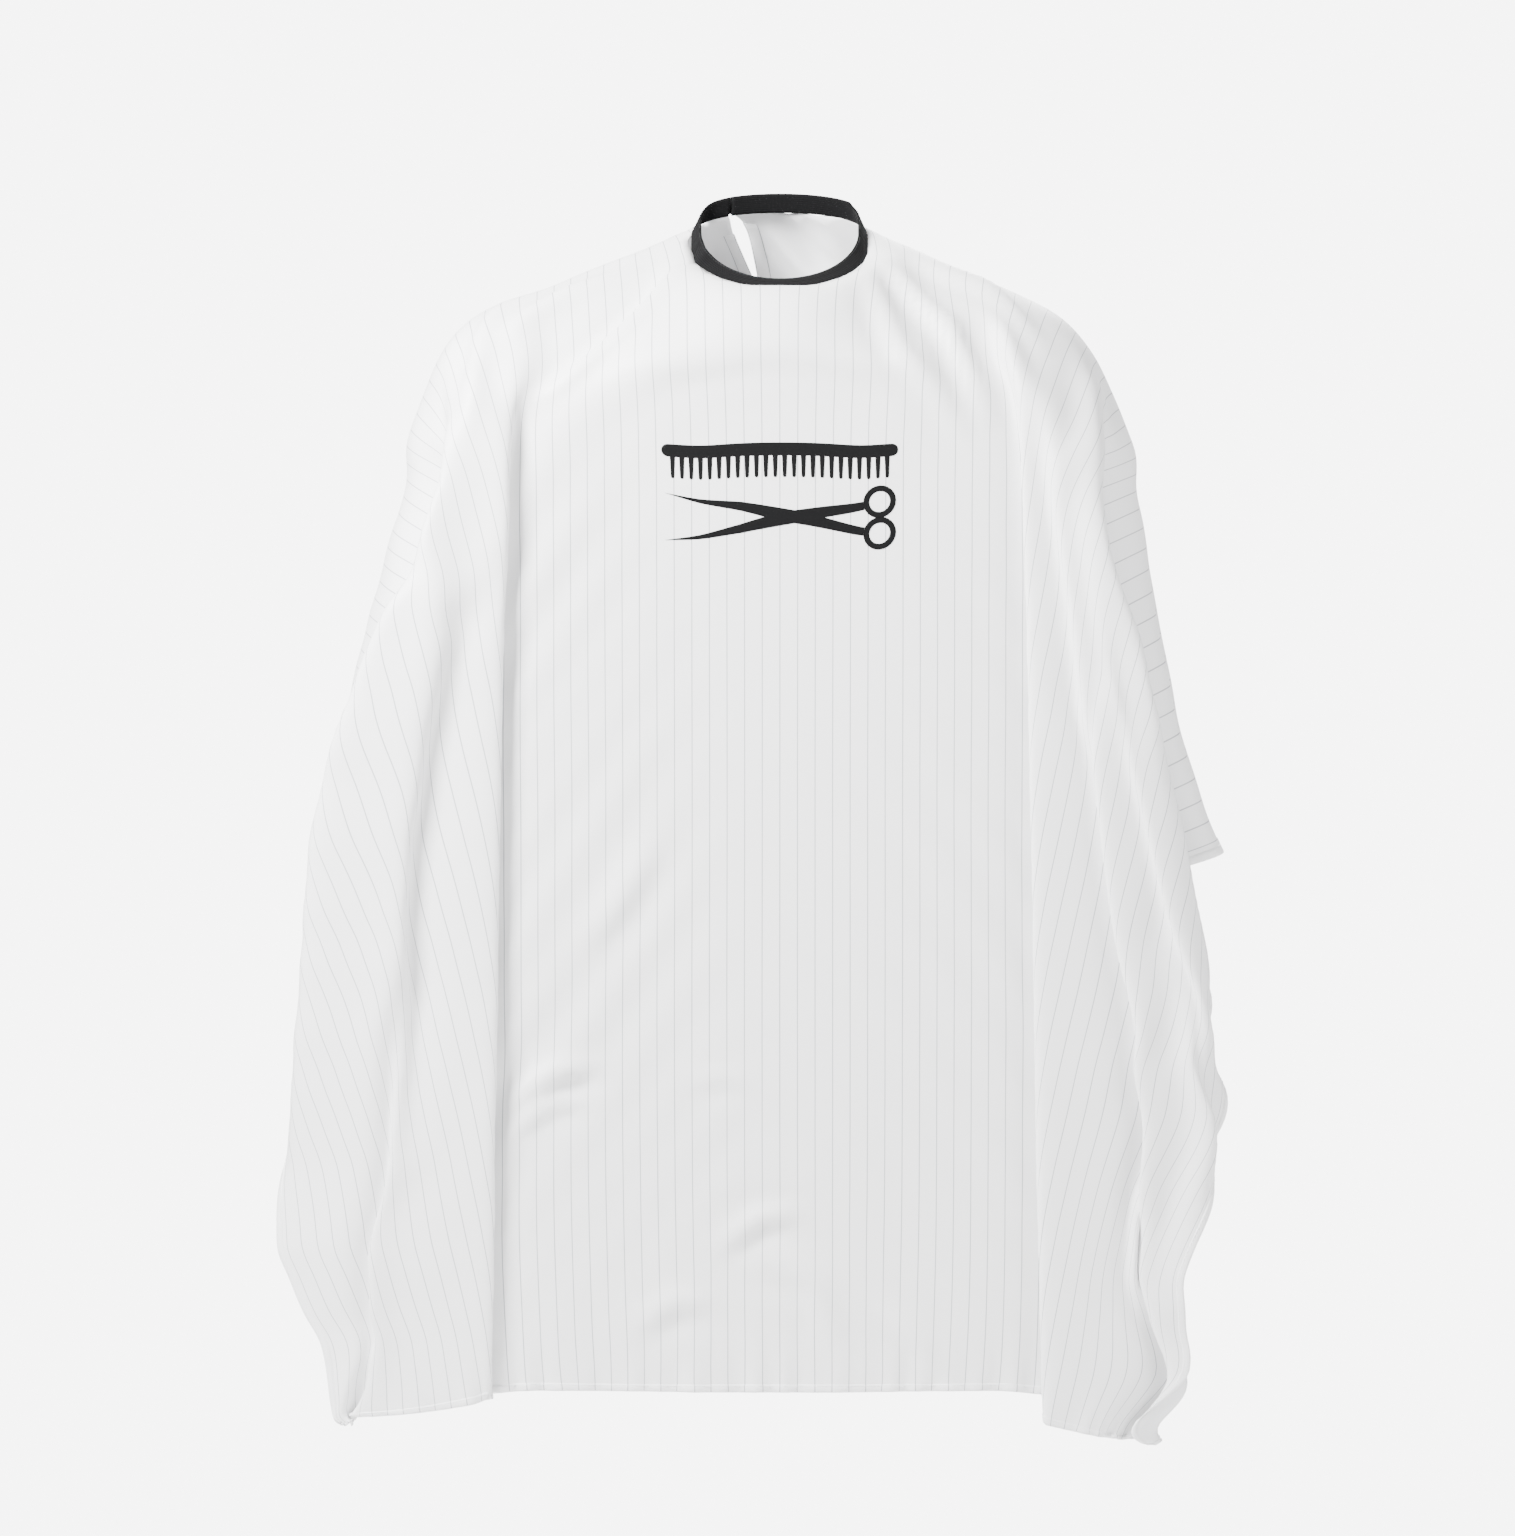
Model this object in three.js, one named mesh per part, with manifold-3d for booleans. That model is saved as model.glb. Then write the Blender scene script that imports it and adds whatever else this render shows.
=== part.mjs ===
// Barber cape, held up at the neck as it is worn: one sheet of light cloth over shoulders and arms, bound at the
// neck with a black band whose free end closes round the back as a hook-and-loop strap.
// Millimetres, +Z up, the front faces -Y. The origin is the centre of the neck ring.
import * as THREE from "three";
import { mergeVertices } from "three/addons/utils/BufferGeometryUtils.js";
import Module from "manifold-3d";

// ---- driving dimensions ----
const CLOTH = 1.6; // thickness that stands for the cloth
const GAP = 0.3; // between pieces that are sewn or laid edge to edge
const HEM_WIDTH = 10;
const HEM_THICKNESS = 2.4;

const NECK_HALF_WIDTH = 84;
const NECK_HALF_DEPTH = 64;
const NECK_TILT = THREE.MathUtils.degToRad(42);
const NECK_BACK_FLATNESS = 0.4; // 1 is a plain ellipse, less is straighter across the nape
const BAND_WIDTH = 20;
const BAND_THICKNESS = 2.2;
const SEAM_ROOM = 3.4; // from the band's edge to the cloth solid that starts under it
const SLIT_ANGLE = THREE.MathUtils.degToRad(216); // round the ring from the throat, over the right shoulder

const STRAP_REACH = THREE.MathUtils.degToRad(96);
const STRAP_WIDTH = 18;
const STRAP_THICKNESS = 1.6;
const STRAP_CLEARANCE = 0.5;
const TAPE_THICKNESS = 1.2;
const TAPE_WIDTH = 14;
const HOOK_TAPE_REACH = THREE.MathUtils.degToRad(34);
const LOOP_TAPE_REACH = THREE.MathUtils.degToRad(62);

const SHOULDER_HEIGHT = -110; // where the outline turns from the shoulder down the arm
const YOKE_BOTTOM = -165;
const CHEST_DEPTH = 107; // of the hanging front ahead of the ring's centre
const SIDE_EDGE_DEPTH = 56; // of the outline's edge, ahead of and behind the ring's centre
const FRONT_HEM_HEIGHT = -1152;
const BACK_DEPTH = 150;
const BACK_YOKE_BOTTOM = -140;
const BACK_HEM_HEIGHT = -432; // beside the slit
const BACK_CORNER_HEIGHT = -700;
const ARM_BULGE = 14;
const ARM_BOTTOM = -600; // where the side edges of the cloth part below the hand

// The cape hangs a little to one side, so each side has its own widths.
const SIDES = {
  left: {
    sign: -1,
    shoulder: 330,
    hem: 522,
    flare: 420,
    creaseTop: 263,
    creaseBottom: 282,
    hemHeight: -1176,
  },
  right: {
    sign: 1,
    shoulder: 300,
    hem: 458,
    flare: 300,
    creaseTop: 228,
    creaseBottom: 275,
    hemHeight: -1196,
  },
};
const PLEAT_SLOPE = Math.tan(THREE.MathUtils.degToRad(6)); // depth of the knife pleat for each mm below the shoulder
const PLEAT_APEX = -54;
const PLEAT_LOFT = 20; // from one layer of the pleat to the next, at full depth
const PLEAT_LOFT_LENGTH = 260;

const SLIT_GAP = 6;
const FACING_WIDTH = 18;

const EMBLEM_WIDTH = 236;
const EMBLEM_HEIGHT = 107;
const EMBLEM_CENTRE_HEIGHT = -252;
const INK = 0.5;

const LABEL_WIDTH = 30;
const LABEL_LENGTH = 46;
const LABEL_THICKNESS = 0.8;

// ---- finishes ----
const satin = () => new THREE.MeshStandardMaterial({ color: 0xf2f2f3, roughness: 0.45, metalness: 0 });
const hemCloth = () => new THREE.MeshStandardMaterial({ color: 0xededef, roughness: 0.5, metalness: 0 });
const bandKnit = () => new THREE.MeshStandardMaterial({ color: 0x17171a, roughness: 0.8, metalness: 0 });
const tapeFelt = () => new THREE.MeshStandardMaterial({ color: 0x111113, roughness: 0.95, metalness: 0 });
const labelTape = () => new THREE.MeshStandardMaterial({ color: 0xfafafa, roughness: 0.4, metalness: 0 });
const printInk = () => new THREE.MeshStandardMaterial({ color: 0x121212, roughness: 0.6, metalness: 0 });

const cape = new THREE.Group();
cape.name = "barber_cape";

function place(name, geometry, material) {
  const mesh = new THREE.Mesh(geometry, material);
  mesh.name = name;
  cape.add(mesh);
  return mesh;
}

// ---- a sheet: a surface given over two shares from 0 to 1, thickened to both sides ----
const STEP = 1e-3;
function normalAt(surface, a, b) {
  const across = surface(a + STEP, b).sub(surface(a - STEP, b));
  const down = surface(a, b + STEP).sub(surface(a, b - STEP));
  return across.cross(down).normalize();
}

function sheet(surface, columns, rows, thickness) {
  const points = [];
  for (const side of [0.5, -0.5]) {
    for (let j = 0; j <= rows; j++) {
      for (let i = 0; i <= columns; i++) {
        const a = i / columns;
        const b = j / rows;
        const shift = normalAt(surface, a, b).multiplyScalar(side * thickness);
        points.push(surface(a, b).add(shift));
      }
    }
  }
  const layer = (columns + 1) * (rows + 1);
  const at = (i, j, back) => back * layer + j * (columns + 1) + i;
  const faces = [];
  const quad = (p, q, r, s) => faces.push(p, q, r, p, r, s);
  for (let j = 0; j < rows; j++) {
    for (let i = 0; i < columns; i++) {
      quad(at(i, j, 0), at(i + 1, j, 0), at(i + 1, j + 1, 0), at(i, j + 1, 0));
      quad(at(i, j, 1), at(i, j + 1, 1), at(i + 1, j + 1, 1), at(i + 1, j, 1));
    }
  }
  for (let i = 0; i < columns; i++) {
    quad(at(i, 0, 1), at(i + 1, 0, 1), at(i + 1, 0, 0), at(i, 0, 0));
    quad(at(i, rows, 0), at(i + 1, rows, 0), at(i + 1, rows, 1), at(i, rows, 1));
  }
  for (let j = 0; j < rows; j++) {
    quad(at(0, j, 0), at(0, j + 1, 0), at(0, j + 1, 1), at(0, j, 1));
    quad(at(columns, j, 1), at(columns, j + 1, 1), at(columns, j + 1, 0), at(columns, j, 0));
  }
  const geometry = new THREE.BufferGeometry();
  geometry.setAttribute(
    "position",
    new THREE.Float32BufferAttribute(points.flatMap((p) => [p.x, p.y, p.z]), 3),
  );
  geometry.setIndex(faces);
  geometry.computeVertexNormals();
  return facingOut(geometry);
}

// A sheet's faces point in or out as its shares run, so a sheet with a negative volume is turned round.
function facingOut(geometry) {
  const position = geometry.getAttribute("position");
  const index = geometry.getIndex();
  const p = [new THREE.Vector3(), new THREE.Vector3(), new THREE.Vector3()];
  let volume = 0;
  for (let i = 0; i < index.count; i += 3) {
    p.forEach((v, k) => v.fromBufferAttribute(position, index.getX(i + k)));
    volume += p[0].dot(p[1].clone().cross(p[2])) / 6;
  }
  if (volume < 0) {
    for (let i = 0; i < index.count; i += 3) {
      const held = index.getX(i + 1);
      index.setX(i + 1, index.getX(i + 2));
      index.setX(i + 2, held);
    }
    geometry.computeVertexNormals();
  }
  return geometry;
}

const mix = (from, to, share) => from + (to - from) * share;
const smooth = (share) => THREE.MathUtils.smoothstep(share, 0, 1);

// ---- the hanging cloth's shape ----
// Half width of the outline on one side, at a height.
function outline(side, z) {
  const below = Math.max(0, SHOULDER_HEIGHT - z);
  return mix(side.shoulder, side.hem, 1 - Math.exp(-below / side.flare));
}

// Height of the shoulder's ridge, from the band out to where the outline turns down.
const RIDGE_START = 14;
const RIDGE_FALL = 60;
const RIDGE_ROUND = RIDGE_START - RIDGE_FALL - SHOULDER_HEIGHT;
const RIDGE_NECK = NECK_HALF_WIDTH + BAND_WIDTH / 2;
function ridge(side, x) {
  const share = THREE.MathUtils.clamp((x - RIDGE_NECK) / (side.shoulder - RIDGE_NECK), 0, 1);
  return RIDGE_START - RIDGE_FALL * share - RIDGE_ROUND * share * share;
}

// Place of the folded edge of the knife pleat.
function crease(side, z) {
  return mix(side.creaseTop, side.creaseBottom, (YOKE_BOTTOM - z) / (YOKE_BOTTOM - FRONT_HEM_HEIGHT));
}
const pleatDepth = (z) => (PLEAT_APEX - z) * PLEAT_SLOPE;
const pleatLoft = (z) => PLEAT_LOFT * Math.min(1, (PLEAT_APEX - z) / PLEAT_LOFT_LENGTH);

// Depth of the side panel's outer layer, from the pleat's edge (share 0) to the outline (share 1).
function sideDepth(z, share) {
  return mix(-CHEST_DEPTH - 2 * pleatLoft(z), -SIDE_EDGE_DEPTH, share * share * share);
}

// ---- neck ring ----
// Centre line of the band: angle 0 is the throat, a quarter turn is the wearer's left (+X), half a turn the nape.
function ring(angle) {
  const along = -Math.cos(angle);
  const reach = along <= 0 ? along : Math.pow(along, NECK_BACK_FLATNESS);
  const q = NECK_HALF_DEPTH * reach;
  return new THREE.Vector3(
    NECK_HALF_WIDTH * Math.sin(angle),
    q * Math.cos(NECK_TILT),
    q * Math.sin(NECK_TILT),
  );
}

// Direction across the band, from its inner or upper edge to the edge that holds the cloth. It lies in the ring's
// plane at the throat and stands upright at the nape.
function bandAcross(angle) {
  const throat = new THREE.Vector3(
    Math.sin(angle) * 0.9,
    -Math.cos(NECK_TILT) * Math.max(0.2, Math.cos(angle)),
    -Math.sin(NECK_TILT),
  );
  const nape = new THREE.Vector3(Math.sin(angle) * 0.15, 0.22, -1);
  const share = smooth((1 - Math.cos(angle)) / 2);
  return throat.lerp(nape, share).normalize();
}

// Direction out of the band's outer face.
function bandOut(angle) {
  const along = ring(angle + STEP).sub(ring(angle - STEP));
  return along.cross(bandAcross(angle)).normalize().negate();
}

const BAND_START = SLIT_ANGLE - 2 * Math.PI;
const BAND_END = SLIT_ANGLE;
const BAND_END_GAP = THREE.MathUtils.degToRad(1.2);

// A strip of tape that runs round the ring, standing off the band's centre line by a distance.
function tape(start, end, width, thickness, standOff, steps) {
  const surface = (a, b) => {
    const angle = mix(start, end, a);
    return ring(angle)
      .addScaledVector(bandAcross(angle), (b - 0.5) * width)
      .addScaledVector(bandOut(angle), standOff);
  };
  return sheet(surface, steps, 1, thickness);
}

place(
  "neck_band",
  tape(BAND_START + BAND_END_GAP, BAND_END - BAND_END_GAP, BAND_WIDTH, BAND_THICKNESS, 0, 64),
  bandKnit(),
);

// ---- closure: the strap leaves the band's left end at the slit and lies round the outside of the nape ----
const STRAP_ROOT = SLIT_ANGLE;
const STRAP_TIP = SLIT_ANGLE - STRAP_REACH;
const LOOP_STAND_OFF = BAND_THICKNESS / 2 + GAP + TAPE_THICKNESS / 2;
const HOOK_STAND_OFF = LOOP_STAND_OFF + TAPE_THICKNESS + STRAP_CLEARANCE;
const STRAP_STAND_OFF = HOOK_STAND_OFF + TAPE_THICKNESS / 2 + GAP + STRAP_THICKNESS / 2;
const TAPE_MARGIN = THREE.MathUtils.degToRad(3);

place(
  "closure_strap",
  tape(STRAP_TIP, STRAP_ROOT, STRAP_WIDTH, STRAP_THICKNESS, STRAP_STAND_OFF, 26),
  bandKnit(),
);
place(
  "hook_tape",
  tape(
    STRAP_TIP + TAPE_MARGIN,
    STRAP_TIP + TAPE_MARGIN + HOOK_TAPE_REACH,
    TAPE_WIDTH,
    TAPE_THICKNESS,
    HOOK_STAND_OFF,
    12,
  ),
  tapeFelt(),
);
place(
  "loop_tape",
  tape(STRAP_TIP, STRAP_TIP + LOOP_TAPE_REACH, TAPE_WIDTH, TAPE_THICKNESS, LOOP_STAND_OFF, 18),
  tapeFelt(),
);
// The root tack is the sewn block that joins the strap to the band's end.
const TACK_REACH = THREE.MathUtils.degToRad(3.2);
const TACK_FROM = BAND_THICKNESS / 2 + GAP;
const TACK_TO = STRAP_STAND_OFF - STRAP_THICKNESS / 2 - GAP;
place(
  "strap_tack",
  tape(
    STRAP_ROOT - BAND_END_GAP - TACK_REACH,
    STRAP_ROOT - BAND_END_GAP,
    STRAP_WIDTH,
    TACK_TO - TACK_FROM,
    (TACK_FROM + TACK_TO) / 2,
    2,
  ),
  bandKnit(),
);

// ---- cloth round the front of the neck and over the chest ----
// Edge of the cloth under the band, at a place across the front (negative is the wearer's right).
const NECK_SEAM = BAND_WIDTH / 2 + SEAM_ROOM;
function neckEdge(angle) {
  return ring(angle).addScaledVector(bandAcross(angle), NECK_SEAM);
}
const NECK_SIDE_ANGLE = THREE.MathUtils.degToRad(98);

// Top edge of the front, from the left outline over the neck to the right outline.
const NECK_SHARE = 0.4;
function topEdge(share) {
  const side = share < 0.5 ? SIDES.left : SIDES.right;
  const fromCentre = Math.abs(share - 0.5) * 2;
  if (fromCentre <= NECK_SHARE) {
    return neckEdge(side.sign * NECK_SIDE_ANGLE * (fromCentre / NECK_SHARE));
  }
  const end = neckEdge(side.sign * NECK_SIDE_ANGLE);
  const out = (fromCentre - NECK_SHARE) / (1 - NECK_SHARE);
  const x = mix(Math.abs(end.x), side.shoulder, out);
  return new THREE.Vector3(side.sign * x, mix(end.y, 0, smooth(out)), mix(end.z, ridge(side, x), smooth(out * 3)));
}

// Bottom edge of the yoke: the front panel's top, then each side panel's top.
function yokeBottom(share) {
  const side = share < 0.5 ? SIDES.left : SIDES.right;
  const x = Math.abs(share - 0.5) * 2 * outline(side, YOKE_BOTTOM);
  const fold = crease(side, YOKE_BOTTOM);
  const out = (x - fold) / (outline(side, YOKE_BOTTOM) - fold);
  const step = smooth((x - fold + 20) / 20);
  const y = out <= 0 ? mix(-CHEST_DEPTH, sideDepth(YOKE_BOTTOM, 0), step) : sideDepth(YOKE_BOTTOM, out);
  return new THREE.Vector3(side.sign * x, y, YOKE_BOTTOM);
}

// From the top edge forward and down in a quarter round.
function chest(share, down) {
  const top = topEdge(share);
  const bottom = yokeBottom(share);
  const turn = (down * Math.PI) / 2;
  return new THREE.Vector3(
    mix(top.x, bottom.x, down),
    mix(top.y, bottom.y, Math.sin(turn)),
    mix(bottom.z, top.z, Math.cos(turn)),
  );
}
place(
  "chest_yoke",
  sheet(chest, 30, 6, CLOTH),
  satin(),
);

// ---- front panel, flat between the two pleats and tucked behind them ----
const PANEL_TOP = YOKE_BOTTOM - GAP;
const PANEL_BOTTOM = FRONT_HEM_HEIGHT + HEM_WIDTH + GAP;
const innerFold = (side, z) => crease(side, z) + pleatDepth(z);
function frontAt(share, z) {
  const x = mix(-innerFold(SIDES.left, z), innerFold(SIDES.right, z), share);
  return new THREE.Vector3(x, -CHEST_DEPTH, z);
}
place(
  "front_panel",
  sheet((a, b) => frontAt(a, mix(PANEL_TOP, PANEL_BOTTOM, b)), 8, 6, CLOTH),
  satin(),
);
place(
  "front_hem",
  sheet((a, b) => frontAt(a, FRONT_HEM_HEIGHT + HEM_WIDTH * (1 - b)), 8, 1, HEM_THICKNESS),
  hemCloth(),
);

// ---- side panels: from the pleat's inner fold to its edge, back over itself and out to the outline ----
const UNDER_SHARE = 0.22;
const TURN_SHARE = 0.08;
function sideAt(side, share, z) {
  const loft = pleatLoft(z);
  const edge = crease(side, z);
  const layer = -CHEST_DEPTH - loft;
  const start = innerFold(side, z) - CLOTH;
  let x;
  let y;
  if (share < UNDER_SHARE) {
    x = mix(start, edge + loft / 2, share / UNDER_SHARE);
    y = layer;
  } else if (share < UNDER_SHARE + TURN_SHARE) {
    const turn = ((share - UNDER_SHARE) / TURN_SHARE) * Math.PI;
    x = edge + (loft / 2) * (1 - Math.sin(turn));
    y = layer - (loft / 2) * (1 - Math.cos(turn));
  } else {
    const out = (share - UNDER_SHARE - TURN_SHARE) / (1 - UNDER_SHARE - TURN_SHARE);
    x = mix(edge + loft / 2, outline(side, z), out);
    y = sideDepth(z, out);
  }
  return new THREE.Vector3(side.sign * x, y, z);
}

// The side hem is the outermost strip of the side panel below the arm.
function sideWidthShare(side, z, width) {
  return width / ((outline(side, z) - crease(side, z)) / (1 - UNDER_SHARE - TURN_SHARE));
}

for (const [key, side] of Object.entries(SIDES)) {
  const bottom = side.hemHeight + HEM_WIDTH + GAP;
  const edgeShare = (z) => 1 - sideWidthShare(side, z, HEM_WIDTH + GAP);
  place(
    "side_panel_" + key,
    sheet((a, b) => {
      const z = mix(PANEL_TOP, bottom, b);
      return sideAt(side, a * edgeShare(z), z);
    }, 24, 8, CLOTH),
    satin(),
  );
  place(
    "side_panel_hem_" + key,
    sheet((a, b) => {
      const z = side.hemHeight + HEM_WIDTH * (1 - b);
      return sideAt(side, a * edgeShare(z), z);
    }, 24, 1, HEM_THICKNESS),
    hemCloth(),
  );
  place(
    "side_hem_" + key,
    sheet((a, b) => {
      const z = mix(PANEL_TOP, side.hemHeight, b);
      const start = 1 - sideWidthShare(side, z, HEM_WIDTH);
      return sideAt(side, mix(start, 1, a), z);
    }, 2, 12, HEM_THICKNESS),
    hemCloth(),
  );
}

// ---- shoulder panels: round the outside of each arm, from the front's outline to the back's ----
// Depth of the outline's edge at a height: nothing at the shoulder's point, full below the yoke.
function edgeDepth(z) {
  const share = THREE.MathUtils.clamp((SHOULDER_HEIGHT - z) / (SHOULDER_HEIGHT - YOKE_BOTTOM), 0, 1);
  return SIDE_EDGE_DEPTH * Math.sin(Math.acos(1 - share));
}
const EDGE_CLEARANCE = HEM_THICKNESS / 2 + CLOTH / 2 + 3 * GAP;
const ARM_TOP = SHOULDER_HEIGHT - 8;
function armAt(side, share, z) {
  const turn = mix(-Math.PI / 2, Math.PI / 2, share);
  const depth = edgeDepth(z) - EDGE_CLEARANCE;
  const fullness = depth / SIDE_EDGE_DEPTH;
  const x = outline(side, z) + EDGE_CLEARANCE + ARM_BULGE * Math.cos(turn) * fullness * fullness;
  return new THREE.Vector3(side.sign * x, depth * Math.sin(turn), z);
}
for (const [key, side] of Object.entries(SIDES)) {
  const bottom = ARM_BOTTOM + HEM_WIDTH + GAP;
  place(
    "shoulder_panel_" + key,
    sheet((a, b) => armAt(side, a, mix(ARM_TOP, bottom, b)), 8, 10, CLOTH),
    satin(),
  );
  place(
    "arm_hem_" + key,
    sheet((a, b) => armAt(side, a, ARM_BOTTOM + HEM_WIDTH * (1 - b)), 8, 1, HEM_THICKNESS),
    hemCloth(),
  );
}

// ---- back panels, parted by the slit ----
const SLIT_X = ring(SLIT_ANGLE).x;
const NECK_BACK_SHARE = 0.42;
const sideAngle = (side) => (side.sign > 0 ? NECK_SIDE_ANGLE : 2 * Math.PI - NECK_SIDE_ANGLE);

// Top edge of one back panel, from the slit round the nape, then along the ridge to the outline.
function backTop(side, share) {
  const clear = (SLIT_GAP / 2) / NECK_HALF_WIDTH + 0.02;
  if (share <= NECK_BACK_SHARE) {
    const start = SLIT_ANGLE - side.sign * clear;
    return neckEdge(mix(start, sideAngle(side), share / NECK_BACK_SHARE));
  }
  const end = neckEdge(sideAngle(side));
  const out = (share - NECK_BACK_SHARE) / (1 - NECK_BACK_SHARE);
  const x = mix(Math.abs(end.x), side.shoulder, out);
  const lift = 2 * GAP;
  return new THREE.Vector3(
    side.sign * x,
    mix(end.y, 0, smooth(out)) + lift,
    mix(end.z, ridge(side, x), smooth(out * 3)),
  );
}

function backHemHeight(share) {
  return mix(BACK_HEM_HEIGHT, BACK_CORNER_HEIGHT, smooth(share));
}

function backAt(side, share, z) {
  const inner = SLIT_X + (side.sign * SLIT_GAP) / 2;
  const x = mix(inner, side.sign * outline(side, z), share);
  const edge = share * share * share * share;
  return new THREE.Vector3(x, mix(BACK_DEPTH, edgeDepth(z), edge), z);
}

// The first part of a back panel rounds over the shoulder blade, the rest hangs.
const BLADE_SHARE = 0.3;
function backPanel(side, share, down) {
  const low = backAt(side, share, BACK_YOKE_BOTTOM);
  if (down < BLADE_SHARE) {
    const top = backTop(side, share);
    const turn = ((down / BLADE_SHARE) * Math.PI) / 2;
    return new THREE.Vector3(
      mix(top.x, low.x, smooth(down / BLADE_SHARE)),
      mix(top.y, low.y, Math.sin(turn)),
      mix(low.z, top.z, Math.cos(turn)),
    );
  }
  const bottom = backHemHeight(share) + HEM_WIDTH + GAP;
  return backAt(side, share, mix(BACK_YOKE_BOTTOM, bottom, (down - BLADE_SHARE) / (1 - BLADE_SHARE)));
}

const FACING_DROP = 12; // below the shoulder blade's round
for (const [key, side] of Object.entries(SIDES)) {
  place(
    "back_panel_" + key,
    sheet((a, b) => backPanel(side, a, b), 14, 12, CLOTH),
    satin(),
  );
  place(
    "back_hem_" + key,
    sheet((a, b) => backAt(side, a, backHemHeight(a) + HEM_WIDTH * (1 - b)), 14, 1, HEM_THICKNESS),
    hemCloth(),
  );
  // The facing is the turned edge of the slit, inside the panel.
  const facingShare = FACING_WIDTH / (outline(side, BACK_YOKE_BOTTOM) + Math.abs(SLIT_X));
  place(
    "slit_facing_" + key,
    sheet((a, b) => {
      const z = mix(BACK_YOKE_BOTTOM - FACING_DROP, BACK_HEM_HEIGHT + HEM_WIDTH + GAP, b);
      const p = backAt(side, a * facingShare, z);
      p.y -= CLOTH + GAP;
      return p;
    }, 2, 8, CLOTH),
    hemCloth(),
  );
}

// ---- care label, sewn inside the front hem by its upper edge ----
const LABEL_X = 150;
place(
  "care_label",
  sheet(
    (a, b) =>
      new THREE.Vector3(
        LABEL_X + (a - 0.5) * LABEL_WIDTH,
        -CHEST_DEPTH + HEM_THICKNESS / 2 + GAP + LABEL_THICKNESS / 2,
        FRONT_HEM_HEIGHT + HEM_WIDTH + 2 + LABEL_LENGTH * (1 - b),
      ),
    1,
    1,
    LABEL_THICKNESS,
  ),
  labelTape(),
);

// ---- printed emblem: a comb over a pair of open scissors, as ink on the chest ----
const wasm = await Module();
wasm.setup();

function solidOf(geometry) {
  const bare = geometry.clone();
  bare.deleteAttribute("normal");
  bare.deleteAttribute("uv");
  const merged = mergeVertices(bare, 1e-3);
  return new wasm.Manifold(
    new wasm.Mesh({
      numProp: 3,
      vertProperties: merged.getAttribute("position").array,
      triVerts: new Uint32Array(merged.getIndex().array),
    }),
  );
}

function geometryOf(solid) {
  const mesh = solid.getMesh();
  const geometry = new THREE.BufferGeometry();
  geometry.setAttribute("position", new THREE.BufferAttribute(mesh.vertProperties, 3));
  geometry.setIndex(new THREE.BufferAttribute(mesh.triVerts, 1));
  geometry.computeVertexNormals();
  return geometry;
}

// A flat shape in x and z, as a plate of ink that stands on the cloth.
function inkPlate(shape) {
  const plate = new THREE.ExtrudeGeometry(shape, { depth: INK, bevelEnabled: false, curveSegments: 10 });
  plate.rotateX(Math.PI / 2);
  plate.translate(0, -CHEST_DEPTH - CLOTH / 2 - GAP, EMBLEM_CENTRE_HEIGHT);
  return solidOf(plate);
}

function bar(x0, z0, x1, z1, width) {
  const along = new THREE.Vector2(x1 - x0, z1 - z0);
  const across = new THREE.Vector2(-along.y, along.x).setLength(width / 2);
  return new THREE.Shape([
    new THREE.Vector2(x0 + across.x, z0 + across.y),
    new THREE.Vector2(x0 - across.x, z0 - across.y),
    new THREE.Vector2(x1 - across.x, z1 - across.y),
    new THREE.Vector2(x1 + across.x, z1 + across.y),
  ]);
}

function join(shapes) {
  return shapes.map(inkPlate).reduce((whole, piece) => whole.add(piece));
}

// The comb lies along the top of the emblem with its teeth down.
const COMB_SPINE = 12;
const COMB_TEETH = 24;
const COMB_TOOTH_LENGTH = 22;
const COMB_TOP = EMBLEM_HEIGHT / 2;
function combShapes() {
  const half = EMBLEM_WIDTH / 2;
  const spineZ = COMB_TOP - COMB_SPINE / 2;
  const shapes = [bar(-half, spineZ, half, spineZ, COMB_SPINE)];
  const pitch = EMBLEM_WIDTH / COMB_TEETH;
  for (let i = 0; i < COMB_TEETH; i++) {
    const x = -half + pitch * (i + 0.25);
    const foot = COMB_TOP - COMB_SPINE - COMB_TOOTH_LENGTH;
    shapes.push(bar(x, spineZ, x, foot, pitch / 2));
  }
  return shapes;
}
place("emblem_comb", geometryOf(join(combShapes())), printInk());

// Scissors: two blades that cross at the pivot, each ending in a finger ring.
const SCISSOR_TOP = COMB_TOP - COMB_SPINE - COMB_TOOTH_LENGTH - 8;
const SCISSOR_BOTTOM = -EMBLEM_HEIGHT / 2;
const SCISSOR_REACH = EMBLEM_WIDTH / 2 - 4;
const RING_OUTER = 15;
const RING_INNER = 9;
const BLADE_WIDTH = 9;
function fingerRing(x, z) {
  const shape = new THREE.Shape();
  shape.absarc(x, z, RING_OUTER, 0, 2 * Math.PI);
  const hole = new THREE.Path();
  hole.absarc(x, z, RING_INNER, 0, 2 * Math.PI, true);
  shape.holes.push(hole);
  return shape;
}
function scissorShapes() {
  const ringX = SCISSOR_REACH - RING_OUTER;
  const upper = SCISSOR_TOP - RING_OUTER;
  const lower = SCISSOR_BOTTOM + RING_OUTER;
  const shank = RING_OUTER - 2;
  const shapes = [];
  for (const [ringZ, tipZ] of [
    [upper, lower - 4],
    [lower, upper + 4],
  ]) {
    shapes.push(bar(ringX - shank, ringZ, -SCISSOR_REACH, tipZ, BLADE_WIDTH));
    shapes.push(fingerRing(ringX, ringZ));
  }
  return shapes;
}
place("emblem_scissors", geometryOf(join(scissorShapes())), printInk());

export default cape;
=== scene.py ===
import math

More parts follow.
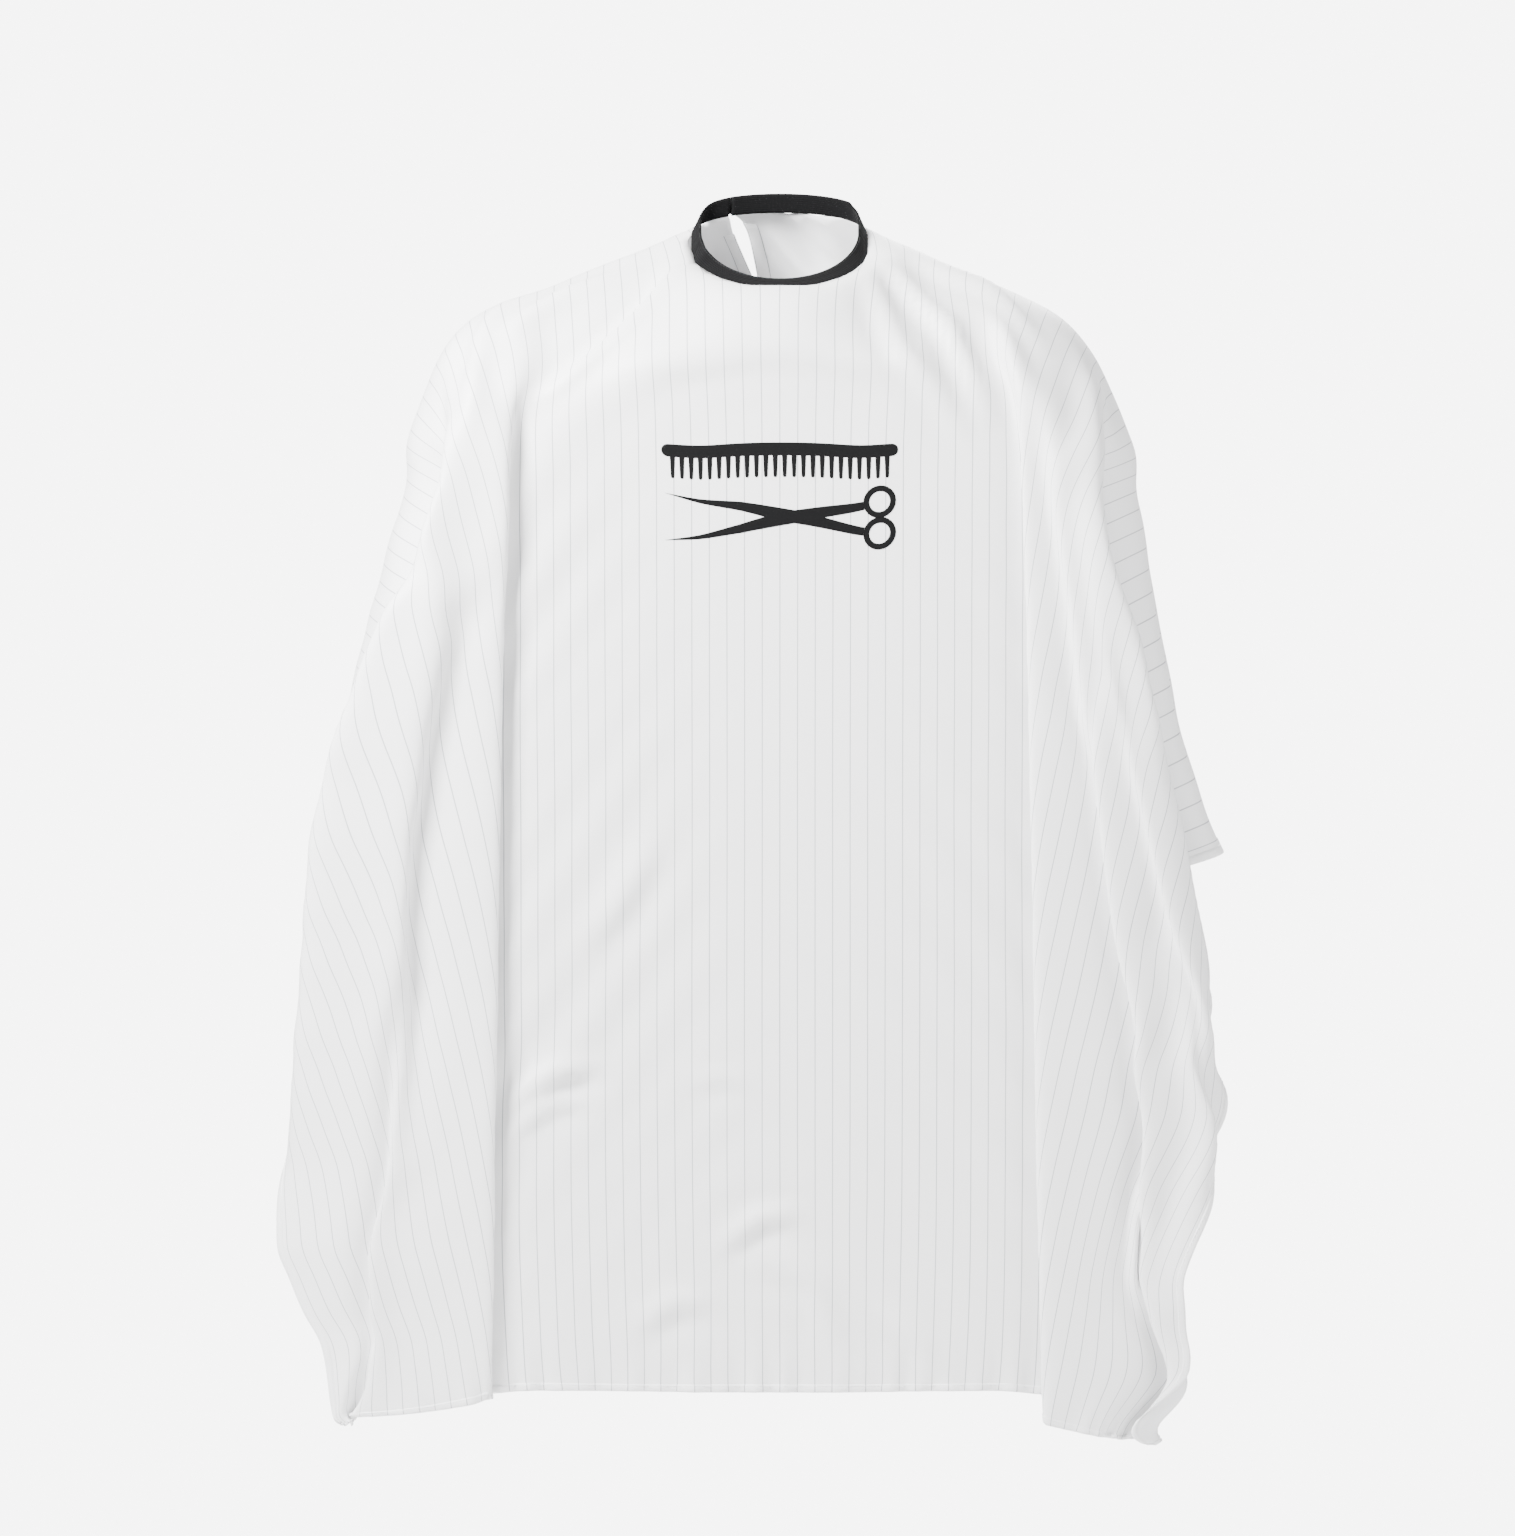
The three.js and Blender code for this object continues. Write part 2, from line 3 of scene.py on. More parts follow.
import bmesh
import bpy
import numpy as np
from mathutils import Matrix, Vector


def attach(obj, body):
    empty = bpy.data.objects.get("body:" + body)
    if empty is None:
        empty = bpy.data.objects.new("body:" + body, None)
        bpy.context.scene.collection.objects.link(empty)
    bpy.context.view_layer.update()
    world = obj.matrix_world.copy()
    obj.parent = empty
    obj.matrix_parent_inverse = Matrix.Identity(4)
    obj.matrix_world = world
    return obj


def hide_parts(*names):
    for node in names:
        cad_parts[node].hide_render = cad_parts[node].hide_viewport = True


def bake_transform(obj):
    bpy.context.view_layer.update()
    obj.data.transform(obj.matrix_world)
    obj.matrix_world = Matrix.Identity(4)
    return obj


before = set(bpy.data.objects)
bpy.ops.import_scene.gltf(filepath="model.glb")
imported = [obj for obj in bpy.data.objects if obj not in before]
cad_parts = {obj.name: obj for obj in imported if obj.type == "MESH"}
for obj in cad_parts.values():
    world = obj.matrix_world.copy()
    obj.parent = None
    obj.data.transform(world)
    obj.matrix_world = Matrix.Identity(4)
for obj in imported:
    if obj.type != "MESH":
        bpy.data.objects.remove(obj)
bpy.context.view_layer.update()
scene = bpy.context.scene
bpy.ops.object.select_all(action="DESELECT")

# ---- Camera, light and floor ----
# A level camera straight in front of the wearer's chest and large soft lights, as in a small product
# studio. The plain pale floor lies just below the camera's view.
CAMERA_DISTANCE = 14.0
FIELD_WIDTH = 1.515
FIELD_CENTRE = Vector((-0.0225, 0.0, -0.528))
FRONT_FACE = -0.105

camera = bpy.data.objects.new("camera", bpy.data.cameras.new("camera"))
scene.collection.objects.link(camera)
camera.data.sensor_fit = "HORIZONTAL"
camera.data.lens = camera.data.sensor_width * CAMERA_DISTANCE / FIELD_WIDTH
camera.location = FIELD_CENTRE + Vector((0, FRONT_FACE - CAMERA_DISTANCE, 0))
camera.rotation_euler = (math.radians(90), 0, 0)
camera.data.clip_end = 50
scene.camera = camera


def finished_mesh(name, vertices, faces, materials, smooth=True):
    """A new object with its place in its mesh."""
    mesh = bpy.data.meshes.new(name)
    mesh.from_pydata([tuple(v) for v in vertices], [], faces)
    mesh.update()
    piece = bpy.data.objects.new(name, mesh)
    scene.collection.objects.link(piece)
    for material in materials:
        mesh.materials.append(material)
    mesh.polygons.foreach_set("use_smooth", [smooth] * len(mesh.polygons))
    return piece


def new_material(name, colour, roughness):
    """A material with its Principled shader and its node tree."""
    material = bpy.data.materials.new(name)
    material.use_nodes = True
    tree = material.node_tree
    shader = tree.nodes["Principled BSDF"]
    shader.inputs["Base Color"].default_value = (*colour, 1)
    shader.inputs["Roughness"].default_value = roughness
    return material, shader, tree


def soft_light(name, place, aim, size, power):
    lamp = bpy.data.lights.new(name, "AREA")
    lamp.size = size
    lamp.energy = power
    light = bpy.data.objects.new(name, lamp)
    light.location = place
    light.rotation_euler = (Vector(aim) - Vector(place)).to_track_quat("-Z", "Y").to_euler()
    scene.collection.objects.link(light)


soft_light("key", (-1.35, -1.10, 0.80), (0.1, 0, -0.45), 0.7, 270)
soft_light("fill", (2.9, -1.5, 0.5), (0, 0, -0.5), 1.8, 130)
soft_light("back", (0.6, 2.6, 1.6), (0, 0, -0.5), 1.6, 210)
world = bpy.data.worlds.new("studio")
scene.world = world
world.use_nodes = True
SKY_LIGHT = 0.42
SKY_SEEN = 7.0
sky_nodes = world.node_tree.nodes
sky_link = world.node_tree.links.new
sky = sky_nodes["Background"]
sky.inputs["Strength"].default_value = SKY_LIGHT
sky.inputs["Color"].default_value = (1, 1, 1, 1)
seen = sky_nodes.new("ShaderNodeBackground")
seen.inputs["Strength"].default_value = SKY_SEEN
seen.inputs["Color"].default_value = (1, 1, 1, 1)
ray = sky_nodes.new("ShaderNodeLightPath")
choose = sky_nodes.new("ShaderNodeMixShader")
sky_link(ray.outputs["Is Camera Ray"], choose.inputs[0])
sky_link(sky.outputs["Background"], choose.inputs[1])
sky_link(seen.outputs["Background"], choose.inputs[2])
sky_link(choose.outputs["Shader"], sky_nodes["World Output"].inputs["Surface"])

FLOOR_HEIGHT = -1.5
FLOOR_REACH = 3.0
paper, _, _ = new_material("pale_paper", (0.93, 0.93, 0.93), 0.9)
floor = finished_mesh(
    "floor",
    [(x * FLOOR_REACH, y * FLOOR_REACH, FLOOR_HEIGHT) for x, y in ((-1, -1), (1, -1), (1, 1), (-1, 1))],
    [(0, 1, 2, 3)],
    [paper],
)

# ---- Cape cloth ----
# One rectangle of striped satin-weave polyester with a round neck hole and a slit from the
# hole to the back edge. It is cut flat, gathered to the neck ring and falls over the shoulders.
CUT_HALF_WIDTH = 0.790
CUT_FRONT = 1.203
CUT_BACK = 0.510
HOLE_RADIUS = 0.076
GRID = 0.0161
NECK_HALF_WIDTH = 0.084
NECK_HALF_DEPTH = 0.064
NECK_TILT = math.radians(42)
NECK_BACK_FLATNESS = 0.4
BAND_WIDTH = 0.020
BAND_THICKNESS = 0.0022
SLIT_TURN = math.radians(36)
CLOTH_THICKNESS = 0.0009


def smooth(share):
    share = min(1.0, max(0.0, share))
    return share * share * (3 - 2 * share)


def ring(angle):
    """Centre line of the neck band: 0 is the throat, a quarter turn is +X, half a turn the nape."""
    along = -math.cos(angle)
    reach = along if along <= 0 else along**NECK_BACK_FLATNESS
    q = NECK_HALF_DEPTH * reach
    return Vector((NECK_HALF_WIDTH * math.sin(angle), q * math.cos(NECK_TILT), q * math.sin(NECK_TILT)))


def band_across(angle):
    throat = Vector(
        (
            math.sin(angle) * 0.9,
            -math.cos(NECK_TILT) * max(0.2, math.cos(angle)),
            -math.sin(NECK_TILT),
        )
    )
    nape = Vector((math.sin(angle) * 0.15, 0.22, -1))
    return throat.lerp(nape, smooth((1 - math.cos(angle)) / 2)).normalized()


def band_out(angle):
    along = ring(angle + 0.001) - ring(angle - 0.001)
    return -along.cross(band_across(angle)).normalized()


def ring_angle(cut_angle):
    """The cloth is gathered so that its slit ends a little to the left of the nape."""
    return cut_angle + SLIT_TURN * ((1 - math.cos(cut_angle)) / 2) ** 2


UNDER_BAND = 0.35
THROAT_FALL = 0.5
RING_BLEND = 0.12
FLAT_CLEARANCE = 0.02
CHEST_RADIUS = 0.105
SHOULDER_START = 0.08
SHOULDER_SLOPE = 0.30
HANG_SHIFT = 0.040
PLEAT_GAP = 0.0048
PULL_WEIGHT = 0.50
CHEST_PULL = 0.80
SWEEP = 0.05
SWEEP_FROM = 0.27
SWEEP_REACH = 0.20
LOWER_FRAMES = 40
SETTLE_FRAMES = 34
CREASE = {-1: 0.262, 1: 0.230}
PLEATS = {
    -1: [(0.7, 5.8), (7.4, 1.6)],
    1: [(1.0, 6.4), (7.6, 2.5), (12.0, 1.8)],
}
OUTLINE = {
    -1: [
        (0.016, 0.096), (-0.022, 0.20), (-0.052, 0.265), (-0.11, 0.33), (-0.20, 0.36), (-0.30, 0.395),
        (-0.46, 0.435), (-0.59, 0.47), (-0.74, 0.484), (-0.89, 0.495), (-1.0, 0.508), (-1.25, 0.508),
    ],
    1: [
        (0.02, 0.096), (-0.01, 0.17), (-0.065, 0.24), (-0.145, 0.32), (-0.21, 0.355), (-0.28, 0.37),
        (-0.38, 0.385), (-0.46, 0.40), (-0.55, 0.42), (-0.78, 0.435), (-0.89, 0.449), (-1.25, 0.45),
    ],
}


def half_width(side, height):
    points = OUTLINE[side]
    return float(np.interp(-height, [-z for z, _ in points], [x for _, x in points]))


def ridge_height(x):
    return -SHOULDER_SLOPE * max(0.0, x - SHOULDER_START)


def ridge_cut(x):
    return ridge_height(x) + CHEST_RADIUS * (math.pi / 2 - 1) - HANG_SHIFT


def hang(x, length, shoulder, share, lift):
    """A point at a length from the shoulder ridge down the chest; share turns it from flat to upright."""
    turn = share * math.pi / 2
    top = ridge_height(shoulder) * share
    if turn < 1e-6:
        return Vector((x, -length, top + lift))
    bend = min(max(length, 0.0) / CHEST_RADIUS, turn)
    rest = max(0.0, length - CHEST_RADIUS * turn)
    y = -CHEST_RADIUS * math.sin(bend) - rest * math.cos(bend) - min(length, 0.0)
    z = -CHEST_RADIUS * (1 - math.cos(bend)) - rest * math.sin(bend)
    return Vector((x, y - math.sin(bend) * lift, top + z + math.cos(bend) * lift))


def pleated(radius, angle, pleats, share):
    """Walks out along the pleated cloth at a radius: how far it gets sideways and how far it lies forward."""
    left = radius * angle
    reach = 0.0
    lift = 0.0
    for edge_degrees, depth_degrees in pleats:
        edge = math.radians(edge_degrees) * radius
        depth = math.radians(depth_degrees) * radius * share
        if depth < 2 * PLEAT_GAP:
            continue
        for run, way in ((edge + depth - PLEAT_GAP - reach, 1), (depth - 2 * PLEAT_GAP, -1)):
            if left < run:
                return reach + way * left, lift
            left -= run
            reach += way * run
            if left < math.pi * PLEAT_GAP:
                turn = left / PLEAT_GAP
                return reach + way * PLEAT_GAP * math.sin(turn), lift + PLEAT_GAP * (1 - math.cos(turn))
            left -= math.pi * PLEAT_GAP
            lift += 2 * PLEAT_GAP
    return reach + left, lift


def front_place(u, v, share):
    side = 1 if u >= 0 else -1
    crease = CREASE[side]
    if abs(u) <= crease:
        return hang(u, ridge_cut(abs(u)) - v, abs(u), share, 0.0)
    out = abs(u) - crease
    down = ridge_cut(crease) - v
    if down <= 0:
        return hang(u, down, crease, share, 0.0)
    radius = math.hypot(out, down)
    reach, lift = pleated(radius, math.atan2(out, down), PLEATS[side], share)
    psi = reach / radius
    place = hang(side * (crease + radius * math.sin(psi)), radius * math.cos(psi), crease, share, lift)
    place.y += share * SWEEP * (max(0.0, abs(place.x) - SWEEP_FROM) / SWEEP_REACH) ** 2
    return place


def cloth_place(u, v, share):
    """Where a point of the cut is led: flat at share 0, hanging in its pleats at share 1."""
    radius = math.hypot(u, v)
    cut_angle = math.atan2(u, -v)
    angle = ring_angle(cut_angle)
    edge = ring(angle) + band_across(angle) * BAND_WIDTH * UNDER_BAND
    out = Vector((math.sin(cut_angle), -math.cos(cut_angle), -THROAT_FALL * math.cos(cut_angle) * share))
    distance = max(radius - HOLE_RADIUS, 0.0)
    led = front_place(u, v, share)
    if share == 0:
        led.z += FLAT_CLEARANCE
    return (edge + out * distance).lerp(led, smooth(distance / RING_BLEND))


columns = 2 * round(CUT_HALF_WIDTH / GRID)
rows = round((CUT_FRONT + CUT_BACK) / GRID)
cut_u = np.linspace(-CUT_HALF_WIDTH, CUT_HALF_WIDTH, columns + 1)
cut_v = np.linspace(-CUT_FRONT, CUT_BACK, rows + 1)
cut = {}
for j, v in enumerate(cut_v):
    for i, u in enumerate(cut_u):
        radius = math.hypot(u, v)
        if radius < HOLE_RADIUS - GRID / 2:
            continue
        snap = HOLE_RADIUS / radius if radius < HOLE_RADIUS + GRID / 2 else 1.0
        cut[i, j] = (u * snap, v * snap)
middle = columns // 2
cloth_bm = bmesh.new()
cloth_vertices = {key: cloth_bm.verts.new(cloth_place(*uv, 0)) for key, uv in cut.items()}
slit_vertices = {
    j: cloth_bm.verts.new(cloth_place(0.0008, cut[middle, j][1], 0))
    for j in range(rows + 1)
    if (middle, j) in cut and cut_v[j] > 0
}
cut_layer = cloth_bm.loops.layers.uv.new("cut")
for j in range(rows):
    for i in range(columns):
        corners = [(i, j), (i + 1, j), (i + 1, j + 1), (i, j + 1)]
        if not all(key in cut for key in corners):
            continue
        beside = slit_vertices if i == middle else {}
        around = [
            beside.get(row, cloth_vertices[column, row]) if column == middle else cloth_vertices[column, row]
            for column, row in corners
        ]
        face = cloth_bm.faces.new(around)
        for loop, key in zip(face.loops, corners):
            loop[cut_layer].uv = cut[key]
bmesh.ops.delete(cloth_bm, geom=[v for v in cloth_bm.verts if not v.link_faces], context="VERTS")
cloth_mesh = bpy.data.meshes.new("cape_cloth")
cloth_bm.to_mesh(cloth_mesh)
cloth_bm.free()
cloth = bpy.data.objects.new("cape_cloth", cloth_mesh)
scene.collection.objects.link(cloth)

cut_of = {}
for loop in cloth_mesh.loops:
    cut_of[loop.vertex_index] = tuple(cloth_mesh.uv_layers["cut"].data[loop.index].uv)
PULL_FROM = -0.16
PULL_MARGIN = 0.01
PULL_BLEND = 0.05
CHEST_EDGE = 0.24
CHEST_BLEND = 0.06
CHEST_FOOT = -0.62
FOOT_BLEND = 0.12
held = cloth.vertex_groups.new(name="held")
on_ring = [index for index, (u, v) in cut_of.items() if abs(math.hypot(u, v) - HOLE_RADIUS) < 1e-4]
held_ring = set(on_ring)
held.add(on_ring, 1.0, "REPLACE")
for index, (u, v) in cut_of.items():
    if v > PULL_FROM or index in held_ring:
        continue
    led = cloth_place(u, v, 1.0)
    margin = half_width(1 if u >= 0 else -1, led.z) - abs(led.x)
    chest = smooth((CHEST_EDGE - abs(u)) / CHEST_BLEND) * smooth((PULL_FROM - v) / PULL_BLEND)
    chest *= smooth((v - CHEST_FOOT) / FOOT_BLEND)
    pull = PULL_WEIGHT + (CHEST_PULL - PULL_WEIGHT) * chest
    weight = min(1.0, max(0.0, (margin + PULL_MARGIN) / PULL_BLEND)) * pull
    if weight > 0:
        held.add([index], weight, "REPLACE")

STAGES = 5
cloth.shape_key_add(name="flat")
for stage in range(1, STAGES + 1):
    key = cloth.shape_key_add(name=f"lowered_{stage}")
    for index, (u, v) in cut_of.items():
        key.data[index].co = cloth_place(u, v, stage / STAGES)
    for step, value in ((stage - 1, 0), (stage, 1), (stage + 1, 0)):
        if step <= STAGES:
            key.value = value
            key.keyframe_insert("value", frame=1 + step * LOWER_FRAMES / STAGES)
for curve in cloth_mesh.shape_keys.animation_data.action.fcurves:
    for point in curve.keyframe_points:
        point.interpolation = "LINEAR"


# The cloth falls over a plain form of neck, shoulders, chest, arms and lap, which is removed afterwards.
def form_balls(start, end, start_radius, end_radius, number):
    made = []
    for n in range(number + 1):
        share = n / number
        bpy.ops.mesh.primitive_uv_sphere_add(
            segments=24,
            ring_count=12,
            radius=start_radius + (end_radius - start_radius) * share,
            location=Vector(start).lerp(Vector(end), share),
        )
        made.append(bpy.context.object)
    return made


form_parts = form_balls((0, 0.03, -0.03), (0, 0.03, -0.06), 0.06, 0.06, 1)
form_parts += form_balls((-0.262, 0.0, -0.118), (0.245, 0.0, -0.123), 0.062, 0.062, 16)
form_parts += form_balls((0, 0.015, -0.10), (0, 0.01, -0.12), 0.085, 0.09, 1)
form_parts += form_balls((-0.12, -0.01, -0.2), (0.12, -0.01, -0.2), 0.088, 0.088, 6)
form_parts += form_balls((-0.275, -0.005, -0.135), (-0.350, -0.010, -0.300), 0.067, 0.055, 8)
form_parts += form_balls((-0.350, -0.010, -0.300), (-0.450, -0.02, -0.74), 0.055, 0.045, 16)
form_parts += form_balls((0.262, -0.005, -0.145), (0.322, -0.005, -0.28), 0.060, 0.055, 6)
form_parts += form_balls((0.322, -0.005, -0.28), (0.405, -0.02, -0.74), 0.055, 0.042, 14)
for side in (-1, 1):
    form_parts += form_balls((side * 0.07, 0.03, -0.05), (side * 0.2, 0.005, -0.096), 0.046, 0.056, 5)
    form_parts += form_balls((side * 0.12, -0.01, -0.16), (side * 0.13, -0.01, -0.4), 0.09, 0.09, 5)
    form_parts += form_balls((side * 0.14, -0.025, -0.4), (side * 0.15, -0.025, -1.1), 0.07, 0.07, 12)
bpy.ops.object.select_all(action="DESELECT")
for part in form_parts:
    part.select_set(True)
bpy.context.view_layer.objects.active = form_parts[0]
bpy.ops.object.join()
form = bpy.context.object
form.modifiers.new("skin", "REMESH").mode = "VOXEL"
form.modifiers["skin"].voxel_size = 0.012
bpy.ops.object.modifier_apply(modifier="skin")
form.modifiers.new("even", "SMOOTH").factor = 0.7
form.modifiers["even"].iterations = 12
bpy.ops.object.modifier_apply(modifier="even")
form.modifiers.new("solid", "COLLISION")
form.collision.thickness_outer = 0.004
form.collision.thickness_inner = 0.05
form.collision.cloth_friction = 6

fall = cloth.modifiers.new("fall", "CLOTH")
fall.settings.quality = 6
fall.settings.mass = 0.15
fall.settings.tension_stiffness = 20
fall.settings.compression_stiffness = 20
fall.settings.shear_stiffness = 8
fall.settings.bending_stiffness = 0.6
fall.settings.tension_damping = 5
fall.settings.compression_damping = 5
fall.settings.shear_damping = 5
fall.settings.bending_damping = 0.5
fall.settings.air_damping = 1.0
fall.settings.vertex_group_mass = "held"
fall.settings.pin_stiffness = 1.0
fall.collision_settings.use_collision = True
fall.collision_settings.distance_min = 0.004
fall.collision_settings.collision_quality = 2
fall.collision_settings.use_self_collision = True
fall.collision_settings.self_distance_min = 0.004
fall.collision_settings.self_friction = 3
last_frame = 1 + LOWER_FRAMES + SETTLE_FRAMES
fall.point_cache.frame_start = 1
fall.point_cache.frame_end = last_frame
scene.frame_start = 1
scene.frame_end = last_frame
for number in range(1, last_frame + 1):
    scene.frame_set(number)
fallen = bpy.data.meshes.new_from_object(cloth.evaluated_get(bpy.context.evaluated_depsgraph_get()))
cloth.modifiers.clear()
cloth.shape_key_clear()
cloth.vertex_groups.clear()
cloth.data = fallen
bpy.data.objects.remove(form)
scene.frame_set(1)

# The fallen cloth is relaxed a little, pressed to its depth and rounded once.
RELAX_ROUNDS = 2
RELAX_SHARE = 0.5
FRONT_PRESS = (-0.105, -0.150)
BACK_PRESS = (0.090, 0.158)
points = np.array([v.co for v in fallen.vertices])
edges = np.array([e.vertices for e in fallen.edges])
loose = np.ones(len(points), bool)
loose[on_ring] = False
for _ in range(RELAX_ROUNDS):
    total = np.zeros_like(points)
    number = np.zeros(len(points))
    for a, b in ((0, 1), (1, 0)):
        np.add.at(total, edges[:, a], points[edges[:, b]])
        np.add.at(number, edges[:, a], 1)
    points[loose] += RELAX_SHARE * (total[loose] / number[loose, None] - points[loose])
for start, limit in (FRONT_PRESS, BACK_PRESS):
    room = abs(limit - start)
    way = 1 if limit > 0 else -1
    past = np.maximum(0, way * (points[:, 1] - start))
    furthest = past.max()
    if furthest > room:
        points[:, 1] -= way * past * (1 - room / furthest)

# The fallen cloth is laid to its outline. On each side the front layer and the sleeve over the arm are drawn
# sideways to their own profiles of height and half width, and the hems are brought to their levels.
FRONT_PROFILE = {
    -1: [
        (-0.35, 0.392), (-0.41, 0.420), (-0.50, 0.453), (-0.58, 0.474), (-0.66, 0.481), (-0.86, 0.495),
        (-1.02, 0.508), (-1.09, 0.482), (-1.13, 0.460), (-1.20, 0.456),
    ],
    1: [
        (-0.50, 0.389), (-0.66, 0.420), (-0.76, 0.435), (-0.88, 0.450), (-0.95, 0.437), (-1.05, 0.405),
        (-1.15, 0.422), (-1.20, 0.385),
    ],
}
SLEEVE_PROFILE = {
    -1: [(-0.22, 0.374), (-0.30, 0.398), (-0.41, 0.427), (-0.50, 0.449), (-0.57, 0.456)],
    1: [(-0.23, 0.362), (-0.40, 0.388), (-0.50, 0.410), (-0.62, 0.450)],
}
SLEEVE_EDGE = -0.20
SLEEVE_BLEND = 0.14
SLEEVE_DROP = {-1: 0.0, 1: 0.075}
DROP_FROM = -0.25
DROP_REACH = 0.30
DROP_BLEND = 0.08
HEM_LEVEL = -1.151
LEVEL_SHARE = 0.9
LEVEL_FROM = -0.80
LEVEL_REACH = 0.35
UNDER_PLEAT = 0.04
PLEAT_BLEND = 0.10
SIDE_RISE = {-1: 0.028, 1: 0.012}
LOWEST = {-1: -1.190, 1: -1.210}
HEM_ROOM = 0.030
DRAW_FROM = 0.27
DRAW_MOST = 0.06
SLAB = 0.025
eased = np.vectorize(smooth)
flat_u, flat_v = np.array([cut_of[k] for k in range(len(points))]).T
in_front = eased((SLEEVE_EDGE - flat_v) / SLEEVE_BLEND)


def drawn(side, layer, profile):
    """How far each point moves outwards, so that the layer's widest points meet its profile."""
    reach = side * points[:, 0]
    heights = np.arange(profile[-1][0], profile[0][0], SLAB)
    slabs = [layer & (np.abs(points[:, 2] - z) < SLAB) for z in heights]
    widest = np.array([reach[slab].max(initial=DRAW_FROM + SLAB) for slab in slabs])
    levels, widths = np.array(profile)[::-1].T
    short = np.clip(np.interp(heights, levels, widths) - widest, -DRAW_MOST, DRAW_MOST)
    share = (reach - DRAW_FROM) / (np.interp(points[:, 2], heights, widest) - DRAW_FROM)
    fade = eased((profile[0][0] + SLAB - points[:, 2]) / (2 * SLAB))
    return np.interp(points[:, 2], heights, short) * eased(share) * fade


for side in (-1, 1):
    this_side = side * points[:, 0] > DRAW_FROM
    drop = eased((DROP_FROM - points[:, 2]) / DROP_REACH)
    drop *= eased((side * points[:, 0] - DRAW_FROM) / DROP_BLEND)
    points[:, 2] -= SLEEVE_DROP[side] * drop * (1 - in_front) * this_side
    front_draw = drawn(side, this_side & (in_front == 1), FRONT_PROFILE[side])
    sleeve_draw = drawn(side, this_side & (in_front < 1), SLEEVE_PROFILE[side])
    points[:, 0] += side * this_side * (front_draw * in_front + sleeve_draw * (1 - in_front))
    crease = CREASE[side]
    out_u = side * flat_u
    hem_row = np.nonzero((flat_v < -CUT_FRONT + GRID / 2) & (out_u >= 0) & (out_u <= crease))[0]
    hem_row = hem_row[np.argsort(out_u[hem_row])]
    short = HEM_LEVEL - np.interp(out_u, out_u[hem_row], points[hem_row, 2])
    in_side = eased((out_u - crease - UNDER_PLEAT) / PLEAT_BLEND)
    rise = LEVEL_SHARE * short * (1 - in_side) + SIDE_RISE[side] * in_side
    points[:, 2] += rise * eased((LEVEL_FROM - flat_v) / LEVEL_REACH) * (out_u > 0)
    below = np.maximum(0, LOWEST[side] + HEM_ROOM - points[:, 2]) * (side * points[:, 0] > 0)
    points[:, 2] += below - HEM_ROOM * (1 - np.exp(-below / HEM_ROOM))
fallen.vertices.foreach_set("co", points.ravel())
fallen.update()
bpy.ops.object.select_all(action="DESELECT")
cloth.select_set(True)
bpy.context.view_layer.objects.active = cloth
rounding = cloth.modifiers.new("rounding", "SUBSURF")
rounding.levels = 1
rounding.render_levels = 1
rounding.uv_smooth = "NONE"
bpy.ops.object.modifier_apply(modifier="rounding")

# Pull folds run from the neck to the shoulders, packing creases cross the front, and the hem edge frills.
# Each fold is a polyline on the cut with a half width and a height.
FOLDS = [
    ([(-0.094, -0.040), (-0.165, -0.118), (-0.240, -0.195)], 0.010, 0.0095),
    ([(-0.125, -0.010), (-0.215, -0.060), (-0.300, -0.130)], 0.012, 0.0075),
    ([(-0.275, -0.060), (-0.315, -0.120), (-0.350, -0.210)], 0.012, 0.0080),
    ([(0.100, -0.030), (0.170, -0.105), (0.212, -0.220)], 0.010, 0.0100),
    ([(0.085, -0.060), (0.122, -0.140), (0.185, -0.225)], 0.011, 0.0070),
    ([(0.130, 0.005), (0.210, -0.045), (0.290, -0.110)], 0.012, 0.0080),
    ([(-0.275, -0.915), (-0.225, -0.880), (-0.180, -0.868)], 0.009, 0.0060),
    ([(-0.275, -0.945), (-0.235, -0.915), (-0.195, -0.905)], 0.007, 0.0045),
    ([(-0.195, -0.750), (-0.160, -0.700), (-0.125, -0.640)], 0.014, 0.0050),
    ([(-0.060, -1.045), (-0.020, -1.015), (0.020, -1.010)], 0.010, 0.0055),
    ([(-0.010, -1.050), (0.035, -1.090), (0.060, -1.150)], 0.013, 0.0060),
    ([(-0.085, -0.872), (-0.060, -0.866), (-0.030, -0.874)], 0.009, 0.0030),
    ([(-0.150, -1.130), (-0.110, -1.100), (-0.070, -1.105)], 0.012, 0.0055),
    ([(0.110, -1.110), (0.150, -1.150), (0.170, -1.190)], 0.012, 0.0055),
    ([(0.020, 0.095), (0.060, 0.140), (0.120, 0.150)], 0.012, -0.0080),
    ([(-0.010, 0.150), (0.050, 0.190), (0.100, 0.230)], 0.014, -0.0080),
    ([(0.070, 0.080), (0.100, 0.110), (0.140, 0.120)], 0.010, -0.0060),
]
FRILL_HEIGHT = 0.0030
FRILL_REACH = 0.028


